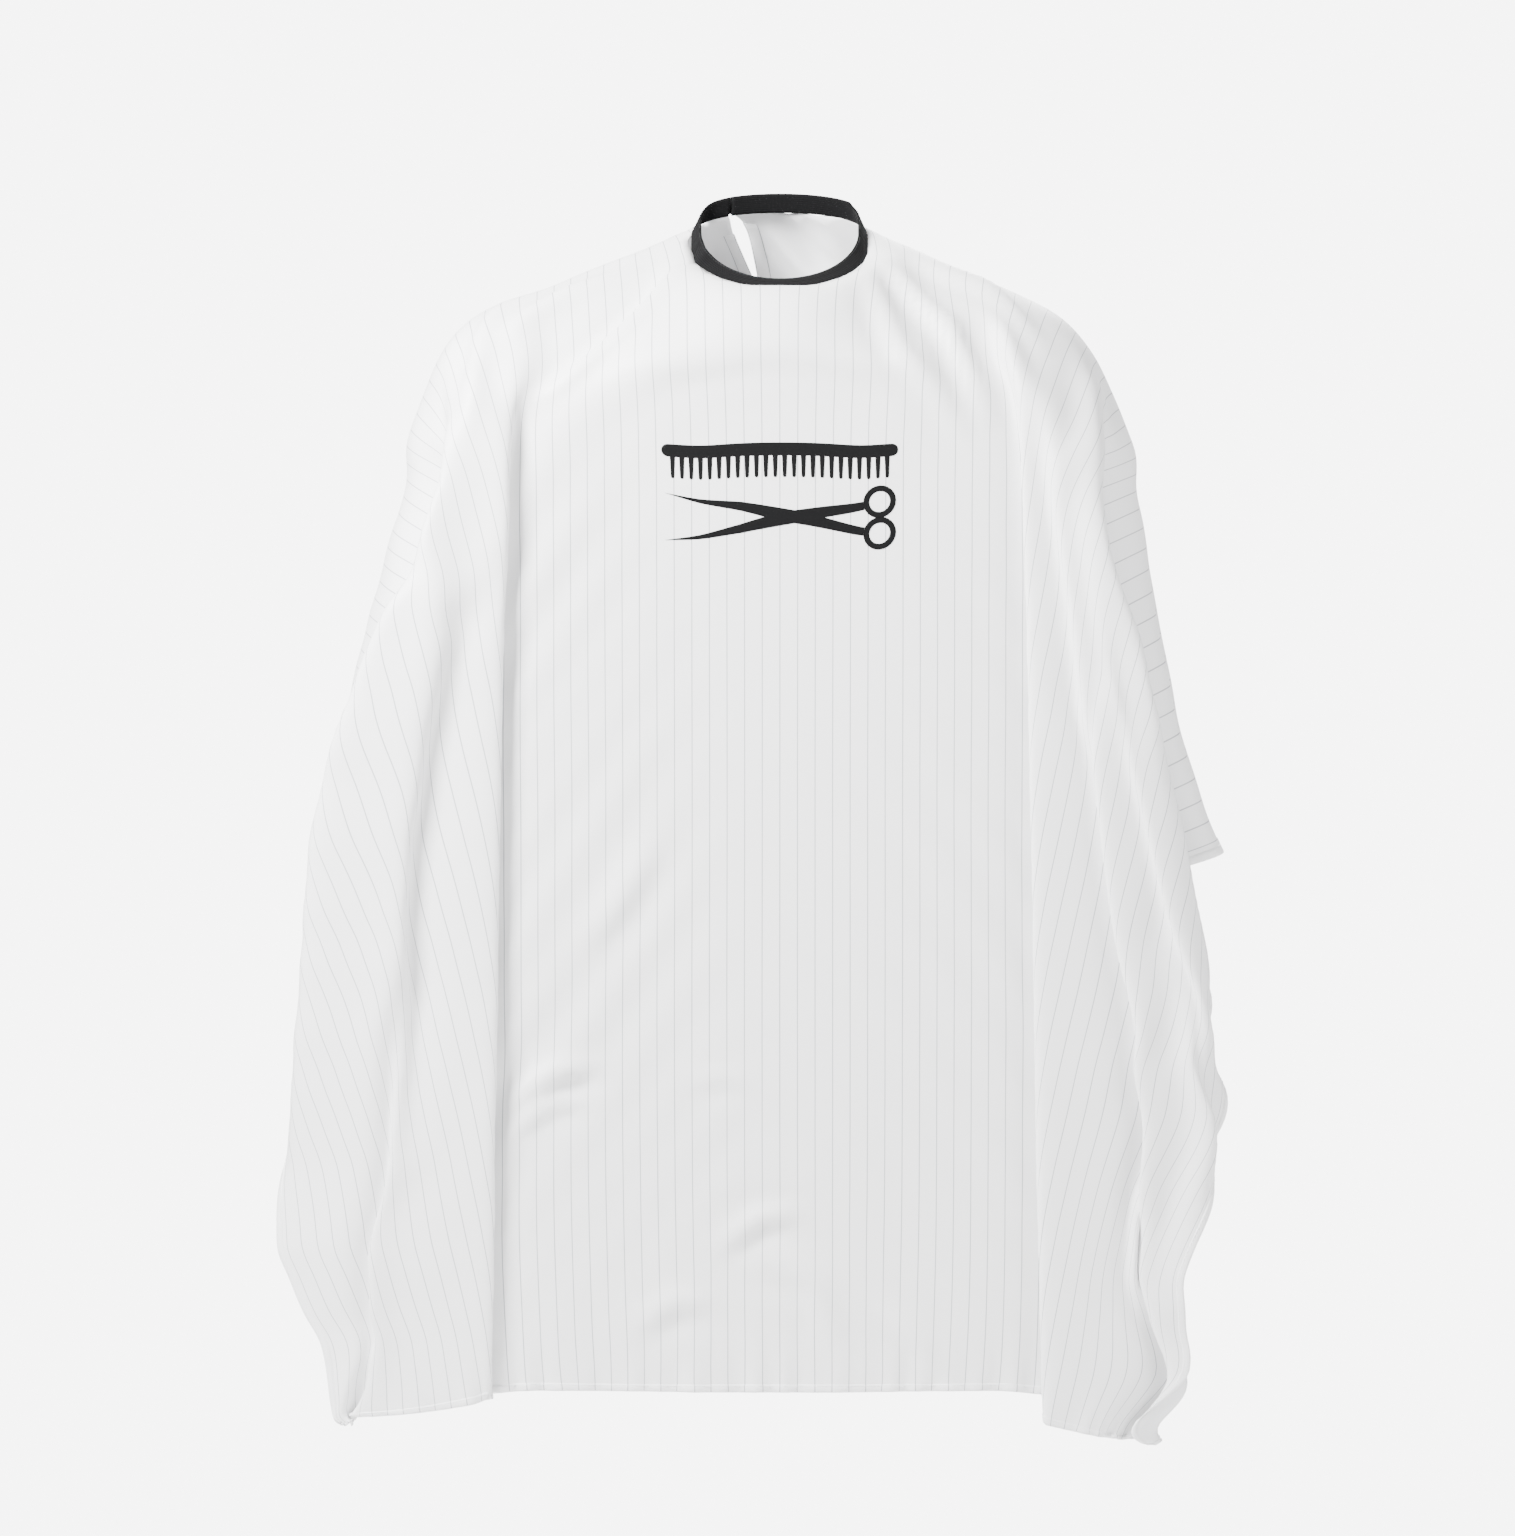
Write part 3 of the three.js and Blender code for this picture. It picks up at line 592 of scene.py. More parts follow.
def fold_height(u, v):
    """A fold is a ridge with a shallow valley beside it that fades to its ends; the frill is two uneven waves."""
    height = 0.0
    for route, half, rise in FOLDS:
        best = None
        for n in range(len(route) - 1):
            (au, av), (bu, bv) = route[n], route[n + 1]
            length = math.hypot(bu - au, bv - av)
            along = ((u - au) * (bu - au) + (v - av) * (bv - av)) / length**2
            held_along = min(1.0, max(0.0, along))
            off = ((u - au) * (bv - av) - (v - av) * (bu - au)) / length
            gap = math.hypot(u - au - (bu - au) * held_along, v - av - (bv - av) * held_along)
            if best is None or gap < best[0]:
                best = (gap, (n + held_along) / (len(route) - 1), off)
        gap, share, off = best
        if gap > 5 * half:
            continue
        ridge = math.exp(-((gap / half) ** 2)) - 0.45 * math.exp(-(((off - 1.8 * half) / half) ** 2))
        height += rise * math.sin(math.pi * min(0.97, max(0.03, share))) ** 0.6 * ridge * math.exp(
            -max(0.0, gap - abs(off)) / half
        )
    frill = math.sin(u / 0.0072 + 2.1 * math.sin(u / 0.021)) + 0.6 * math.sin(u / 0.0047 + 1.3)
    return height + FRILL_HEIGHT * frill * math.exp(-(v + CUT_FRONT) / FRILL_REACH)


mesh = cloth.data
mesh_cut = {}
for loop in mesh.loops:
    mesh_cut[loop.vertex_index] = tuple(mesh.uv_layers["cut"].data[loop.index].uv)
lifted = [v.co + v.normal * fold_height(*mesh_cut[v.index]) for v in mesh.vertices]
mesh.vertices.foreach_set("co", np.array(lifted).ravel())
mesh.update()
FINE = (cut_u[1] - cut_u[0]) / 2
FINE_V = (cut_v[1] - cut_v[0]) / 2

surface = {side: np.full((2 * columns + 1, 2 * rows + 1, 3), np.nan) for side in (-1, 1)}
layer = cloth.data.uv_layers["cut"].data
for face in cloth.data.polygons:
    uvs = [layer[index].uv for index in face.loop_indices]
    side = 1 if sum(uv.x for uv in uvs) > 0 else -1
    for uv, index in zip(uvs, face.vertices):
        i = (uv.x + CUT_HALF_WIDTH) / FINE
        j = (uv.y + CUT_FRONT) / FINE_V
        if abs(i - round(i)) < 0.02 and abs(j - round(j)) < 0.02:
            surface[side][round(i), round(j)] = cloth.data.vertices[index].co
for side in (-1, 1):
    other = surface[-side]
    gaps = np.isnan(surface[side][:, :, 0])
    surface[side][gaps] = other[gaps]


def on_cloth(u, v, lift=0.0, side=0):
    """The point of the fallen cloth over a point of the cut, lifted off its outer face."""
    grid = surface[side if side else (1 if u > 0 else -1)]
    s = min(max((u + CUT_HALF_WIDTH) / FINE, 0.0), 2 * columns - 1e-6)
    t = min(max((v + CUT_FRONT) / FINE_V, 0.0), 2 * rows - 1e-6)
    i, j = int(s), int(t)
    s, t = s - i, t - j
    a, b, c, d = grid[i, j], grid[i + 1, j], grid[i + 1, j + 1], grid[i, j + 1]
    place = (a * (1 - s) + b * s) * (1 - t) + (d * (1 - s) + c * s) * t
    across = (b - a) * (1 - t) + (c - d) * t
    along = (d - a) * (1 - s) + (c - b) * s
    normal = np.cross(across, along)
    return Vector(place + normal / max(1e-9, np.linalg.norm(normal)) * lift)


STRIPE_PITCH = 0.0176
STRIPE_WIDTH = 0.0010


def weave_group():
    """Bump height of the satin weave: fine diagonal floats with an uneven yarn."""
    tree = bpy.data.node_groups.new("satin_weave", "ShaderNodeTree")
    tree.interface.new_socket(name="Cut", in_out="INPUT", socket_type="NodeSocketVector")
    tree.interface.new_socket(name="Height", in_out="OUTPUT", socket_type="NodeSocketFloat")
    start = tree.nodes.new("NodeGroupInput")
    end = tree.nodes.new("NodeGroupOutput")
    wave = tree.nodes.new("ShaderNodeTexWave")
    wave.bands_direction = "DIAGONAL"
    wave.inputs["Scale"].default_value = 420
    wave.inputs["Distortion"].default_value = 1.5
    wave.inputs["Detail"].default_value = 1
    tree.links.new(start.outputs["Cut"], wave.inputs["Vector"])
    tree.links.new(wave.outputs["Fac"], end.inputs["Height"])
    return tree


satin_weave = weave_group()


def satin(name, colour, stripe_strength):
    material, shader, tree = new_material(name, colour, 0.48)
    nodes, link = tree.nodes, tree.links.new
    shader.inputs["Sheen Weight"].default_value = 0.12
    shader.inputs["Sheen Roughness"].default_value = 0.4
    cut_map = nodes.new("ShaderNodeUVMap")
    cut_map.uv_map = "cut"
    if stripe_strength > 0:
        split = nodes.new("ShaderNodeSeparateXYZ")
        link(cut_map.outputs["UV"], split.inputs["Vector"])
        fold = nodes.new("ShaderNodeMath")
        fold.operation = "PINGPONG"
        fold.inputs[1].default_value = STRIPE_PITCH / 2
        link(split.outputs["X"], fold.inputs[0])
        line = nodes.new("ShaderNodeMapRange")
        line.inputs["From Min"].default_value = STRIPE_WIDTH * 0.35
        line.inputs["From Max"].default_value = STRIPE_WIDTH * 0.65
        line.inputs["To Min"].default_value = stripe_strength
        line.inputs["To Max"].default_value = 0
        link(fold.outputs["Value"], line.inputs["Value"])
        mix = nodes.new("ShaderNodeMix")
        mix.data_type = "RGBA"
        mix.inputs["A"].default_value = (*colour, 1)
        mix.inputs["B"].default_value = (0.27, 0.27, 0.30, 1)
        link(line.outputs["Result"], mix.inputs["Factor"])
        link(mix.outputs["Result"], shader.inputs["Base Color"])
    weave = nodes.new("ShaderNodeGroup")
    weave.node_tree = satin_weave
    link(cut_map.outputs["UV"], weave.inputs["Cut"])
    bump = nodes.new("ShaderNodeBump")
    bump.inputs["Strength"].default_value = 0.25
    bump.inputs["Distance"].default_value = 0.0002
    link(weave.outputs["Height"], bump.inputs["Height"])
    link(bump.outputs["Normal"], shader.inputs["Normal"])
    return material


cape_satin = satin("cape_satin", (0.86, 0.86, 0.865), 0.8)
cape_reverse = satin("cape_reverse", (0.80, 0.80, 0.81), 0.0)
cloth.data.materials.clear()
cloth.data.materials.append(cape_satin)
cloth.data.materials.append(cape_reverse)
cloth.data.polygons.foreach_set("use_smooth", [True] * len(cloth.data.polygons))
wall = cloth.modifiers.new("wall", "SOLIDIFY")
wall.thickness = CLOTH_THICKNESS
wall.offset = 0
wall.material_offset = 1
wall.material_offset_rim = 0
bpy.ops.object.modifier_apply(modifier="wall")
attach(cloth, "cape")
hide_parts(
    "chest_yoke", "front_panel", "side_panel_left", "side_panel_right",
    "shoulder_panel_left", "shoulder_panel_right", "back_panel_left", "back_panel_right",
)


# ---- Hems and slit facings ----
# The cut's outer edges are turned twice and stitched flat; the slit's edges have a wider facing.
# Each strip wraps its edge, follows the fallen cloth and puckers a little between the stitches.
HEM_WIDTH = 0.010
FACING_WIDTH = 0.018
HEM_LIFT = 0.0013
EDGE_ROLL = 0.0008
PUCKER = 0.00025
PUCKER_PITCH = 0.021


def set_cut(piece, cut_points):
    """The piece's UV map from one cut point for each vertex."""
    layer = piece.data.uv_layers.new(name="cut").data
    for loop in piece.data.loops:
        layer[loop.index].uv = cut_points[loop.vertex_index]


def edge_place(u, v, inward, inset, lift, side):
    """A point near the cut's edge, where a negative inset lies just past the edge."""
    du, dv = inward
    if inset >= 0:
        return on_cloth(u + du * inset, v + dv * inset, lift, side)
    edge = on_cloth(u, v, lift, side)
    return edge + (edge - on_cloth(u + du * 0.003, v + dv * 0.003, lift, side)).normalized() * -inset


def hem(name, start, end, inward, width, nodes, side=0):
    """A strip round the cut's edge from start to end; inward is the way from the edge into the cloth."""
    low = CLOTH_THICKNESS / 2
    section = [(width, low), (width * 0.93, HEM_LIFT * 0.8), (width * 0.5, HEM_LIFT), (0.001, HEM_LIFT)]
    section += [(-EDGE_ROLL, HEM_LIFT * 0.5)]
    section += [(inset, -lift) for inset, lift in reversed(section)]
    length = math.hypot(end[0] - start[0], end[1] - start[1])
    stations = round(length / FINE)
    vertices = []
    cut_points = []
    for n in range(stations + 1):
        share = n / stations
        u = start[0] + (end[0] - start[0]) * share
        v = start[1] + (end[1] - start[1]) * share
        wave = math.sin(2 * math.pi * share * length / PUCKER_PITCH + 2 * math.sin(17 * share))
        for inset, lift in section:
            bulge = math.copysign(PUCKER * wave, lift) if abs(lift) > 0.001 else 0.0
            vertices.append(edge_place(u, v, inward, inset, lift + bulge, side))
            cut_points.append((u + inward[0] * inset, v + inward[1] * inset))
    around = len(section)
    faces = []
    for n in range(stations):
        for k in range(around):
            a, b = n * around + k, n * around + (k + 1) % around
            faces.append((a, b, b + around, a + around))
    faces += [tuple(range(around))[::-1], tuple(range(stations * around, (stations + 1) * around))]
    strip = finished_mesh(name, vertices, faces, [cape_satin])
    set_cut(strip, cut_points)
    face_out(strip)
    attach(strip, "cape")
    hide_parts(*nodes)
    return strip


def face_out(piece):
    shell = bmesh.new()
    shell.from_mesh(piece.data)
    bmesh.ops.recalc_face_normals(shell, faces=shell.faces)
    shell.to_mesh(piece.data)
    shell.free()


STITCH_LENGTH = 0.0030
STITCH_PITCH = 0.0042
STITCH_WIDTH = 0.00045
STITCH_RISE = 0.00035


def stitches(name, rows, material):
    """Rows of short stitches; a row is a length and a function that gives a point and a normal along it."""
    vertices = []
    faces = []
    for length, place in rows:
        for n in range(int(length / STITCH_PITCH)):
            first = len(vertices)
            middle_at = (n + 0.5) * STITCH_PITCH
            a, normal = place(middle_at - STITCH_LENGTH / 2)
            b, _ = place(middle_at + STITCH_LENGTH / 2)
            across = (b - a).cross(normal).normalized() * STITCH_WIDTH / 2
            vertices.append(a - normal * STITCH_RISE * 0.4)
            for share in (0.2, 0.8):
                centre = a.lerp(b, share)
                vertices += [
                    centre + across,
                    centre + normal * STITCH_RISE,
                    centre - across,
                    centre - normal * STITCH_RISE,
                ]
            vertices.append(b - normal * STITCH_RISE * 0.4)
            for k in range(4):
                m = (k + 1) % 4
                faces.append((first, first + 1 + m, first + 1 + k))
                faces.append((first + 1 + k, first + 1 + m, first + 5 + m, first + 5 + k))
                faces.append((first + 5 + k, first + 5 + m, first + 9))
    made = finished_mesh(name, vertices, faces, [material])
    face_out(made)
    return made


def cloth_row(start, end, side=0):
    """A stitch row over the hem between two points of the cut."""
    length = math.hypot(end[0] - start[0], end[1] - start[1])

    def place(at):
        share = at / length
        u = start[0] + (end[0] - start[0]) * share
        v = start[1] + (end[1] - start[1]) * share
        low, high = on_cloth(u, v, 0, side), on_cloth(u, v, HEM_LIFT, side)
        return high, (high - low).normalized()

    return length, place


W, F, B = CUT_HALF_WIDTH, CUT_FRONT, CUT_BACK
CORNER = HEM_WIDTH + 0.0004
FACING_TOP = 0.100
hem_pieces = [
    hem(
        "front_edge_hem", (-W, -F), (W, -F), (0, 1), HEM_WIDTH,
        ["front_hem", "side_panel_hem_left", "side_panel_hem_right"],
    ),
    hem(
        "side_edge_hem_left", (-W, -F + CORNER), (-W, B - CORNER), (1, 0), HEM_WIDTH,
        ["side_hem_left", "arm_hem_left"],
    ),
    hem(
        "side_edge_hem_right", (W, -F + CORNER), (W, B - CORNER), (-1, 0), HEM_WIDTH,
        ["side_hem_right", "arm_hem_right"],
    ),
    hem("back_edge_hem_left", (-W, B), (-0.0005, B), (0, -1), HEM_WIDTH, ["back_hem_left"], -1),
    hem("back_edge_hem_right", (0.0005, B), (W, B), (0, -1), HEM_WIDTH, ["back_hem_right"], 1),
    hem("slit_edge_left", (0, FACING_TOP), (0, B - CORNER), (-1, 0), FACING_WIDTH, ["slit_facing_left"], -1),
    hem("slit_edge_right", (0, FACING_TOP), (0, B - CORNER), (1, 0), FACING_WIDTH, ["slit_facing_right"], 1),
]
SEAM = HEM_WIDTH - 0.0022
FACING_SEAM = FACING_WIDTH - 0.0025
hem_rows = [
    cloth_row((-W + SEAM, -F + SEAM), (W - SEAM, -F + SEAM)),
    cloth_row((-W + SEAM, -F + SEAM), (-W + SEAM, B - SEAM)),
    cloth_row((W - SEAM, -F + SEAM), (W - SEAM, B - SEAM)),
    cloth_row((-W + SEAM, B - SEAM), (-0.001, B - SEAM), -1),
    cloth_row((0.001, B - SEAM), (W - SEAM, B - SEAM), 1),
    cloth_row((-FACING_SEAM, FACING_TOP), (-FACING_SEAM, B - SEAM), -1),
    cloth_row((FACING_SEAM, FACING_TOP), (FACING_SEAM, B - SEAM), 1),
]
white_thread, _, _ = new_material("white_thread", (0.78, 0.78, 0.79), 0.55)
hem_stitching = stitches("hem_stitching", hem_rows, white_thread)
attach(hem_stitching, "cape")

# ---- Printed emblem ----
# A comb over a pair of open scissors, in one layer of black ink that is pressed into the chest's satin.
EMBLEM_WIDTH = 0.236
EMBLEM_HEIGHT = 0.107
EMBLEM_CENTRE = -0.252 - HANG_SHIFT
INK = 0.0003

ink, ink_shader, _ = new_material("print_ink", (0.0028, 0.0028, 0.0031), 0.6)
ink_shader.inputs["Specular IOR Level"].default_value = 0.1


def ink_print(name, outlines, node):
    """Ink in flat outlines, cut along the cloth's grid to lie on its facets, then raised to its thickness."""
    flat = bmesh.new()
    for outline in outlines:
        flat.faces.new([flat.verts.new((x, EMBLEM_CENTRE + z, 0)) for x, z in outline])
    flat.normal_update()
    bmesh.ops.triangulate(flat, faces=flat.faces)
    bmesh.ops.remove_doubles(flat, verts=flat.verts, dist=1e-6)
    for axis, pitch, origin in ((0, FINE, -CUT_HALF_WIDTH), (1, FINE_V, -CUT_FRONT)):
        places = [v.co[axis] for v in flat.verts]
        for n in range(math.ceil((min(places) - origin) / pitch), math.ceil((max(places) - origin) / pitch)):
            point = Vector((0, 0, 0))
            normal = Vector((0, 0, 0))
            point[axis] = origin + n * pitch
            normal[axis] = 1
            bmesh.ops.bisect_plane(
                flat, geom=flat.verts[:] + flat.edges[:] + flat.faces[:], plane_co=point, plane_no=normal
            )
    raised = bmesh.ops.extrude_face_region(flat, geom=flat.faces[:])["geom"]
    for v in raised:
        if isinstance(v, bmesh.types.BMVert):
            v.co.z = 1
    bmesh.ops.recalc_face_normals(flat, faces=flat.faces)
    for v in flat.verts:
        v.co = on_cloth(v.co.x, v.co.y, CLOTH_THICKNESS / 2 + 0.00005 + INK * v.co.z)
    mesh = bpy.data.meshes.new(name)
    flat.to_mesh(mesh)
    flat.free()
    mesh.materials.append(ink)
    piece = bpy.data.objects.new(name, mesh)
    scene.collection.objects.link(piece)
    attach(piece, "cape")
    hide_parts(node)
    return piece


def arc(x, z, radius, start, end, steps):
    return [
        (
            x + radius * math.cos(start + (end - start) * n / steps),
            z + radius * math.sin(start + (end - start) * n / steps),
        )
        for n in range(steps + 1)
    ]


# The comb: a spine with round ends, and teeth that narrow to rounded tips.
SPINE = 0.013
TEETH = 24
TOOTH = 0.022
half = EMBLEM_WIDTH / 2
comb_top = EMBLEM_HEIGHT / 2
spine_foot = comb_top - SPINE
comb_outlines = [
    arc(-half + SPINE / 2, comb_top - SPINE / 2, SPINE / 2, math.pi / 2, 3 * math.pi / 2, 8)
    + arc(half - SPINE / 2, comb_top - SPINE / 2, SPINE / 2, -math.pi / 2, math.pi / 2, 8)
]
comb_reach = EMBLEM_WIDTH - SPINE
tooth_pitch = comb_reach / TEETH
for n in range(TEETH):
    x = -comb_reach / 2 + tooth_pitch * (n + 0.5)
    root, tip = tooth_pitch * 0.28, tooth_pitch * 0.19
    foot = spine_foot - TOOTH
    comb_outlines.append(
        [(x - root, spine_foot)] + arc(x, foot + tip, tip, math.pi, 2 * math.pi, 4) + [(x + root, spine_foot)]
    )
ink_print("comb_print", comb_outlines, "emblem_comb")

# The scissors: tapered blades that cross, on shanks with round finger rings.
BLADE = 0.0105
RING_OUTER = 0.0165
RING_INNER = 0.0105
BLADE_SPREAD = 0.024
scissor_top = spine_foot - TOOTH - 0.007
ring_x = half - RING_OUTER - 0.002
scissor_middle = (scissor_top - EMBLEM_HEIGHT / 2) / 2
ring_rise = scissor_top - RING_OUTER - scissor_middle
tip_x = -half + 0.003
cross_x = ring_x - 0.085
NOTCH = 0.030
SHANK = 0.0042
scissor_outlines = []
cross = Vector((cross_x, scissor_middle))
body = {}
for way in (1, -1):
    centre_z = scissor_middle + way * ring_rise
    for n in range(24):
        inner = arc(ring_x, centre_z, RING_INNER, 2 * math.pi * n / 24, 2 * math.pi * (n + 1) / 24, 1)
        outer = arc(ring_x, centre_z, RING_OUTER, 2 * math.pi * n / 24, 2 * math.pi * (n + 1) / 24, 1)
        scissor_outlines.append([inner[0], outer[0], outer[1], inner[1]])
    shank_way = (Vector((ring_x, centre_z)) - cross).normalized()
    shank_side = Vector((-shank_way.y, shank_way.x)) * way
    root = Vector((ring_x, centre_z)) - shank_way * (RING_OUTER - 0.0002)
    tip = Vector((tip_x, scissor_middle + way * BLADE_SPREAD))
    blade_way = (tip - cross).normalized()
    blade_side = Vector((blade_way.y, -blade_way.x)) * way
    belly = cross + blade_way * 0.055
    body[way] = {
        "waist": cross + Vector((0, way * BLADE * 0.62)),
        "back": belly + blade_side * BLADE * 0.55,
        "tip": tip,
        "edge": belly - blade_side * BLADE * 0.30,
        "shank_out": root + shank_side * SHANK,
        "shank_in": root - shank_side * SHANK,
    }
up, low = body[1], body[-1]
scissor_outlines.append(
    [tuple(point) for point in (
        up["waist"], up["back"], up["tip"], up["edge"], cross + Vector((-NOTCH, 0)),
        low["edge"], low["tip"], low["back"], low["waist"],
        low["shank_out"], low["shank_in"], cross + Vector((NOTCH, 0)), up["shank_in"], up["shank_out"],
    )]
)
ink_print("scissors_print", scissor_outlines, "emblem_scissors")

# ---- Neck band ----
# Folded black rib knit that binds the neck hole, with a row of black stitches near each edge.
SLIT_ANGLE = math.pi + SLIT_TURN
BAND_GAP = math.radians(1.2)
RIB_PITCH = 0.0034
RIB_RISE = 0.00016


def knit_material(name, colour):
    """Rib knit: lengthwise ribs over short crosswise loops, read from the tape's own length and width."""
    material, shader, tree = new_material(name, colour, 0.9)
    nodes, link = tree.nodes, tree.links.new
    shader.inputs["Sheen Weight"].default_value = 0.03
    shader.inputs["Sheen Roughness"].default_value = 0.5
    shader.inputs["Specular IOR Level"].default_value = 0.08
    tape_map = nodes.new("ShaderNodeUVMap")
    tape_map.uv_map = "cut"
    loops = nodes.new("ShaderNodeTexWave")
    loops.inputs["Scale"].default_value = 260
    loops.inputs["Distortion"].default_value = 2.5
    loops.inputs["Detail"].default_value = 1
    ribs = nodes.new("ShaderNodeTexWave")
    ribs.bands_direction = "Y"
    ribs.inputs["Scale"].default_value = 150
    total = nodes.new("ShaderNodeMath")
    link(tape_map.outputs["UV"], loops.inputs["Vector"])
    link(tape_map.outputs["UV"], ribs.inputs["Vector"])
    link(loops.outputs["Fac"], total.inputs[0])
    link(ribs.outputs["Fac"], total.inputs[1])
    bump = nodes.new("ShaderNodeBump")
    bump.inputs["Strength"].default_value = 0.6
    bump.inputs["Distance"].default_value = 0.0004
    link(total.outputs["Value"], bump.inputs["Height"])
    link(bump.outputs["Normal"], shader.inputs["Normal"])
    lint = nodes.new("ShaderNodeTexNoise")
    lint.inputs["Scale"].default_value = 900
    link(tape_map.outputs["UV"], lint.inputs["Vector"])
    shade = nodes.new("ShaderNodeMapRange")
    shade.inputs["From Min"].default_value = 0.62
    shade.inputs["From Max"].default_value = 0.75
    link(lint.outputs["Fac"], shade.inputs["Value"])
    mix = nodes.new("ShaderNodeMix")
    mix.data_type = "RGBA"
    mix.inputs["A"].default_value = (*colour, 1)
    mix.inputs["B"].default_value = (colour[0] * 3, colour[1] * 3, colour[2] * 3, 1)
    link(shade.outputs["Result"], mix.inputs["Factor"])
    link(mix.outputs["Result"], shader.inputs["Base Color"])
    return material


band_knit = knit_material("band_knit", (0.0032, 0.0032, 0.0035))
black_thread, _, _ = new_material("black_thread", (0.010, 0.010, 0.011), 0.6)

CREASES = [(math.radians(-68), 0.0013), (math.radians(-82), -0.0009), (math.radians(-97), 0.0011)]
CREASE_SPREAD = math.radians(4.5)


def crease_lift(angle):
    """Pinches where the band is folded on the wearer's right side of the neck."""
    return sum(rise * math.exp(-(((angle - at) / CREASE_SPREAD) ** 2)) for at, rise in CREASES)


def tape_place(angle, across, out):
    lift = crease_lift((angle + math.pi) % (2 * math.pi) - math.pi)
    return ring(angle) + band_across(angle) * across + band_out(angle) * (out + lift)


def tape(name, start, end, width, thickness, stand_off, material, steps, ribs=0.0, round_tip=0.0):
    """A tape round the ring with rounded edges; its tip at start can be rounded in plan."""
    lanes = 12
    section = []
    for k in range(lanes + 1):
        w = 2 * k / lanes - 1
        full = thickness / 2 * (1 - abs(w) ** 6) ** 0.5
        section.append((w, full + ribs * math.cos(math.pi * w * width / RIB_PITCH)))
    section += [(w, -thickness / 2 * (1 - abs(w) ** 6) ** 0.5) for w, _ in reversed(section[1:-1])]
    around = len(section)
    vertices = []
    cut_points = []
    mean_radius = (NECK_HALF_WIDTH + NECK_HALF_DEPTH) / 2
    for n in range(steps + 1):
        angle = start + (end - start) * n / steps
        from_tip = abs(angle - start) * mean_radius
        narrow = 1.0
        if round_tip and from_tip < round_tip:
            narrow = max(0.35, math.sqrt(1 - (1 - from_tip / round_tip) ** 2))
        for w, out in section:
            vertices.append(tape_place(angle, w * narrow * width / 2, stand_off + out))
            cut_points.append((angle * mean_radius, w * narrow * width / 2))
    faces = []
    for n in range(steps):
        for k in range(around):
            a, b = n * around + k, n * around + (k + 1) % around
            faces.append((a, b, b + around, a + around))
    faces += [tuple(range(around)), tuple(range(steps * around, (steps + 1) * around))]
    piece = finished_mesh(name, vertices, faces, [material])
    set_cut(piece, cut_points)
    face_out(piece)
    return piece


def tape_row(start, end, across, stand_off):
    """A stitch row along a tape."""
    mean_radius = (NECK_HALF_WIDTH + NECK_HALF_DEPTH) / 2
    length = abs(end - start) * mean_radius * 1.06

    def place(at):
        angle = start + (end - start) * at / length
        point = tape_place(angle, across, stand_off)
        return point, band_out(angle)

    return length, place


band_start = SLIT_ANGLE - 2 * math.pi + BAND_GAP
band_end = SLIT_ANGLE - BAND_GAP
band = tape("rib_neck_band", band_start, band_end, BAND_WIDTH, BAND_THICKNESS, 0, band_knit, 180, RIB_RISE)
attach(band, "cape")
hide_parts("neck_band")
SEAM_INSET = 0.0022
BAND_SEAM = BAND_WIDTH / 2 - SEAM_INSET
band_face = BAND_THICKNESS / 2
band_stitching = stitches(
    "band_stitching",
    [tape_row(band_start, band_end, way * BAND_SEAM, band_face) for way in (1, -1)],
    black_thread,
)
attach(band_stitching, "cape")

# ---- Closure strap ----
# The band's left end runs on past the slit as a strap that lies round the outside of the nape. Hook tape
# under its tip grips loop tape on the band, and a sewn block holds its root.
STRAP_REACH = math.radians(96)
STRAP_WIDTH = 0.018
STRAP_THICKNESS = 0.0016
TAPE_WIDTH = 0.014
TAPE_THICKNESS = 0.0012
LOOP_STAND_OFF = 0.0020
HOOK_STAND_OFF = 0.0037
STRAP_STAND_OFF = 0.0054
HOOK_REACH = math.radians(34)
LOOP_REACH = math.radians(62)
TAPE_MARGIN = math.radians(3)
TACK_REACH = math.radians(3.2)
TACK_THICKNESS = 0.0029
TACK_STAND_OFF = 0.0028
TIP_ROUNDING = 0.006
strap_tip = SLIT_ANGLE - STRAP_REACH

strap = tape(
    "rib_closure_strap", strap_tip, SLIT_ANGLE, STRAP_WIDTH, STRAP_THICKNESS, STRAP_STAND_OFF, band_knit, 96,
    RIB_RISE, TIP_ROUNDING,
)
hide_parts("closure_strap")
strap_face = STRAP_STAND_OFF + STRAP_THICKNESS / 2
strap_seam = STRAP_WIDTH / 2 - SEAM_INSET
strap_rows = [
    tape_row(strap_tip + TAPE_MARGIN, SLIT_ANGLE - BAND_GAP, way * strap_seam, strap_face) for way in (1, -1)
]
strap_stitching = stitches("strap_stitching", strap_rows, black_thread)
for piece in (strap, strap_stitching):
    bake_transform(piece)

tack = tape(
    "sewn_strap_tack", SLIT_ANGLE - BAND_GAP - TACK_REACH, SLIT_ANGLE - BAND_GAP, STRAP_WIDTH,
    TACK_THICKNESS, TACK_STAND_OFF, band_knit, 6,
)
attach(tack, "cape")
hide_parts("strap_tack")


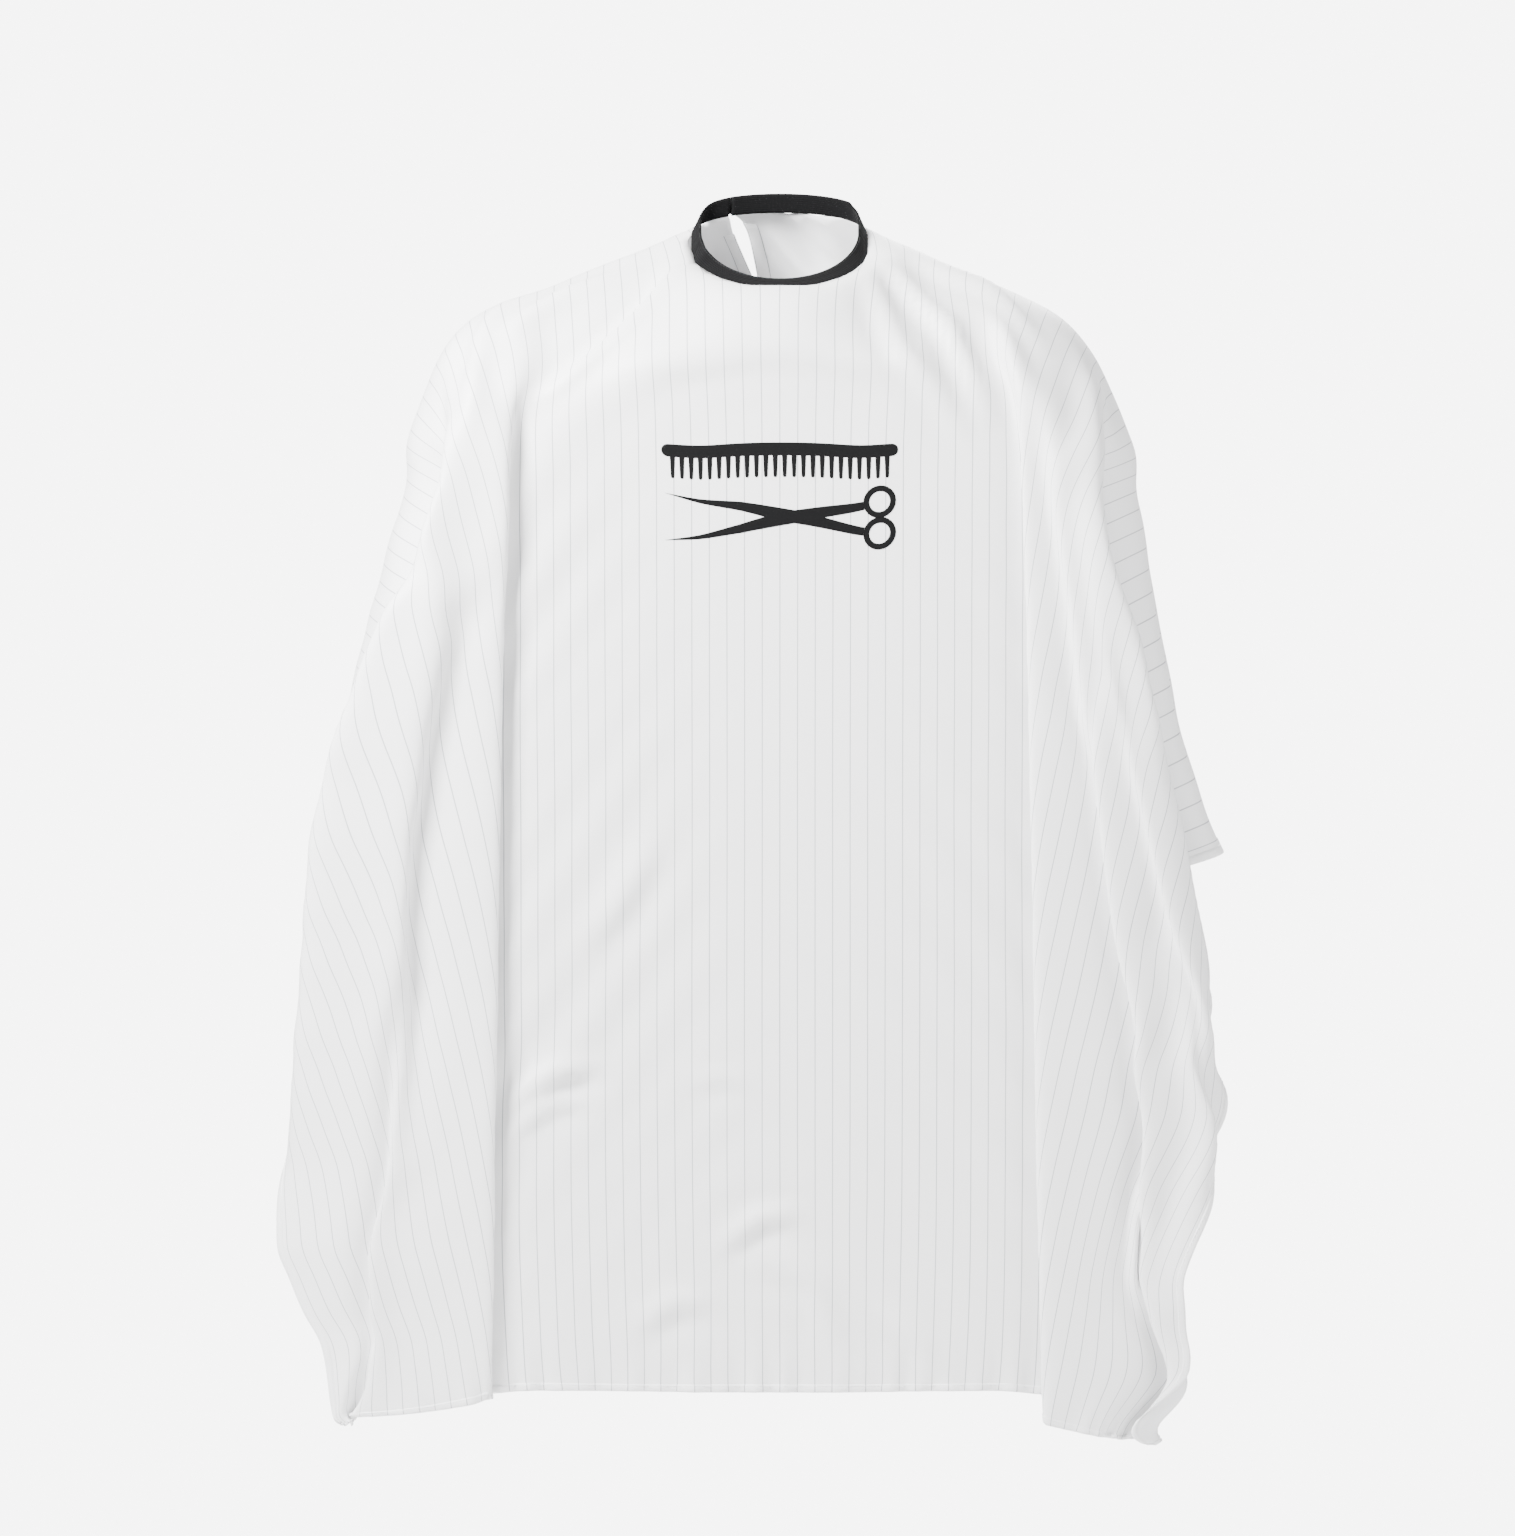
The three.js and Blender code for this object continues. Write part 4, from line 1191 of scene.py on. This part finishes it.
def fuzzy(name, colour, scale):
    """Napped fastener tape: a matt felt with a coarse, uneven pile."""
    material, shader, tree = new_material(name, colour, 0.95)
    nodes, link = tree.nodes, tree.links.new
    shader.inputs["Sheen Weight"].default_value = 0.5
    place = nodes.new("ShaderNodeTexCoord")
    pile = nodes.new("ShaderNodeTexNoise")
    pile.inputs["Scale"].default_value = scale
    pile.inputs["Detail"].default_value = 4
    link(place.outputs["Object"], pile.inputs["Vector"])
    bump = nodes.new("ShaderNodeBump")
    bump.inputs["Strength"].default_value = 0.9
    bump.inputs["Distance"].default_value = 0.0006
    link(pile.outputs["Fac"], bump.inputs["Height"])
    link(bump.outputs["Normal"], shader.inputs["Normal"])
    return material


loop_felt = fuzzy("loop_felt", (0.014, 0.014, 0.015), 1400)
hook_web = fuzzy("hook_web", (0.018, 0.018, 0.02), 2200)
loops = tape(
    "fastener_loop_tape", strap_tip, strap_tip + LOOP_REACH, TAPE_WIDTH, TAPE_THICKNESS, LOOP_STAND_OFF,
    loop_felt, 60,
)
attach(loops, "cape")
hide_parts("loop_tape")
hook_start = strap_tip + TAPE_MARGIN
hooks = tape(
    "fastener_hook_tape", hook_start, hook_start + HOOK_REACH, TAPE_WIDTH, TAPE_THICKNESS, HOOK_STAND_OFF,
    hook_web, 36,
)
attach(hooks, "strap")
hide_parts("hook_tape")

# Moulded hooks: short bent studs in rows on the tape's inner face.
HOOK_PITCH = 0.0016
HOOK_HEIGHT = 0.0004
HOOK_HALF = 0.00025
HOOK_TAPER = 0.6
hook_vertices = []
hook_faces = []
hook_length = HOOK_REACH * (NECK_HALF_WIDTH + NECK_HALF_DEPTH) / 2
for row in range(int(hook_length / HOOK_PITCH) - 1):
    angle = hook_start + HOOK_REACH * (row + 1) * HOOK_PITCH / hook_length
    for lane in range(-3, 4):
        across = lane * HOOK_PITCH + (row % 2) * HOOK_PITCH / 2 - HOOK_PITCH / 4
        face_at = HOOK_STAND_OFF - TAPE_THICKNESS / 2 + 0.0001
        foot = tape_place(angle, across, face_at)
        out = band_out(angle)
        along = (ring(angle + 0.01) - ring(angle - 0.01)).normalized() * HOOK_HALF
        side_way = band_across(angle) * HOOK_HALF
        first = len(hook_vertices)
        head = foot - out * HOOK_HEIGHT + along
        hook_vertices += [foot + along, foot + side_way, foot - along, foot - side_way]
        hook_vertices += [head + way * HOOK_TAPER for way in (along, side_way, -along, -side_way)]
        hook_faces += [tuple(first + k for k in (0, 1, 2, 3)), tuple(first + k for k in (7, 6, 5, 4))]
        for k in range(4):
            m = (k + 1) % 4
            hook_faces.append((first + k, first + 4 + k, first + 4 + m, first + m))
hook_studs = finished_mesh("fastener_hooks", hook_vertices, hook_faces, [hook_web])
face_out(hook_studs)
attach(hook_studs, "strap")

# ---- Care label ----
# A small folded satin tag, caught in the front hem on the inside and left blank.
LABEL_WIDTH = 0.030
LABEL_HEIGHT = 0.046
LABEL_AT = 0.150
LABEL_CLEAR = 0.0004
LABEL_OPEN = 0.0009
LABEL_PINCH = 0.0006
LABEL_CURL = 0.0012
LABEL_THICKNESS = 0.0003
LABEL_LANES = 8
LABEL_STEPS = 12
label_vertices = []
label_cut = []
for n in range(2 * LABEL_STEPS + 1):
    down = n / LABEL_STEPS if n <= LABEL_STEPS else 2 - n / LABEL_STEPS
    under = 0.0
    if n > LABEL_STEPS:
        under = LABEL_OPEN - LABEL_PINCH * (2 - n / LABEL_STEPS)
    for k in range(LABEL_LANES + 1):
        across = k / LABEL_LANES - 0.5
        curl = LABEL_CURL * math.sin(math.pi * down) * (1 + across)
        lift = -(HEM_LIFT + LABEL_CLEAR + curl + under)
        u = LABEL_AT + across * LABEL_WIDTH
        v = -CUT_FRONT + HEM_WIDTH * 0.6 + down * LABEL_HEIGHT
        label_vertices.append(on_cloth(u, v, lift))
        label_cut.append((across * LABEL_WIDTH, n * LABEL_HEIGHT / LABEL_STEPS))
wide = LABEL_LANES + 1
label_faces = [
    (n * wide + k, n * wide + k + 1, (n + 1) * wide + k + 1, (n + 1) * wide + k)
    for n in range(2 * LABEL_STEPS)
    for k in range(LABEL_LANES)
]
label_satin = satin("label_satin", (0.82, 0.82, 0.80), 0.0)
label = finished_mesh("blank_care_label", label_vertices, label_faces, [label_satin])
set_cut(label, label_cut)
label_wall = label.modifiers.new("wall", "SOLIDIFY")
label_wall.thickness = LABEL_THICKNESS
label_wall.offset = 0
bpy.ops.object.select_all(action="DESELECT")
label.select_set(True)
bpy.context.view_layer.objects.active = label
bpy.ops.object.modifier_apply(modifier="wall")
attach(label, "cape")
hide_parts("care_label")
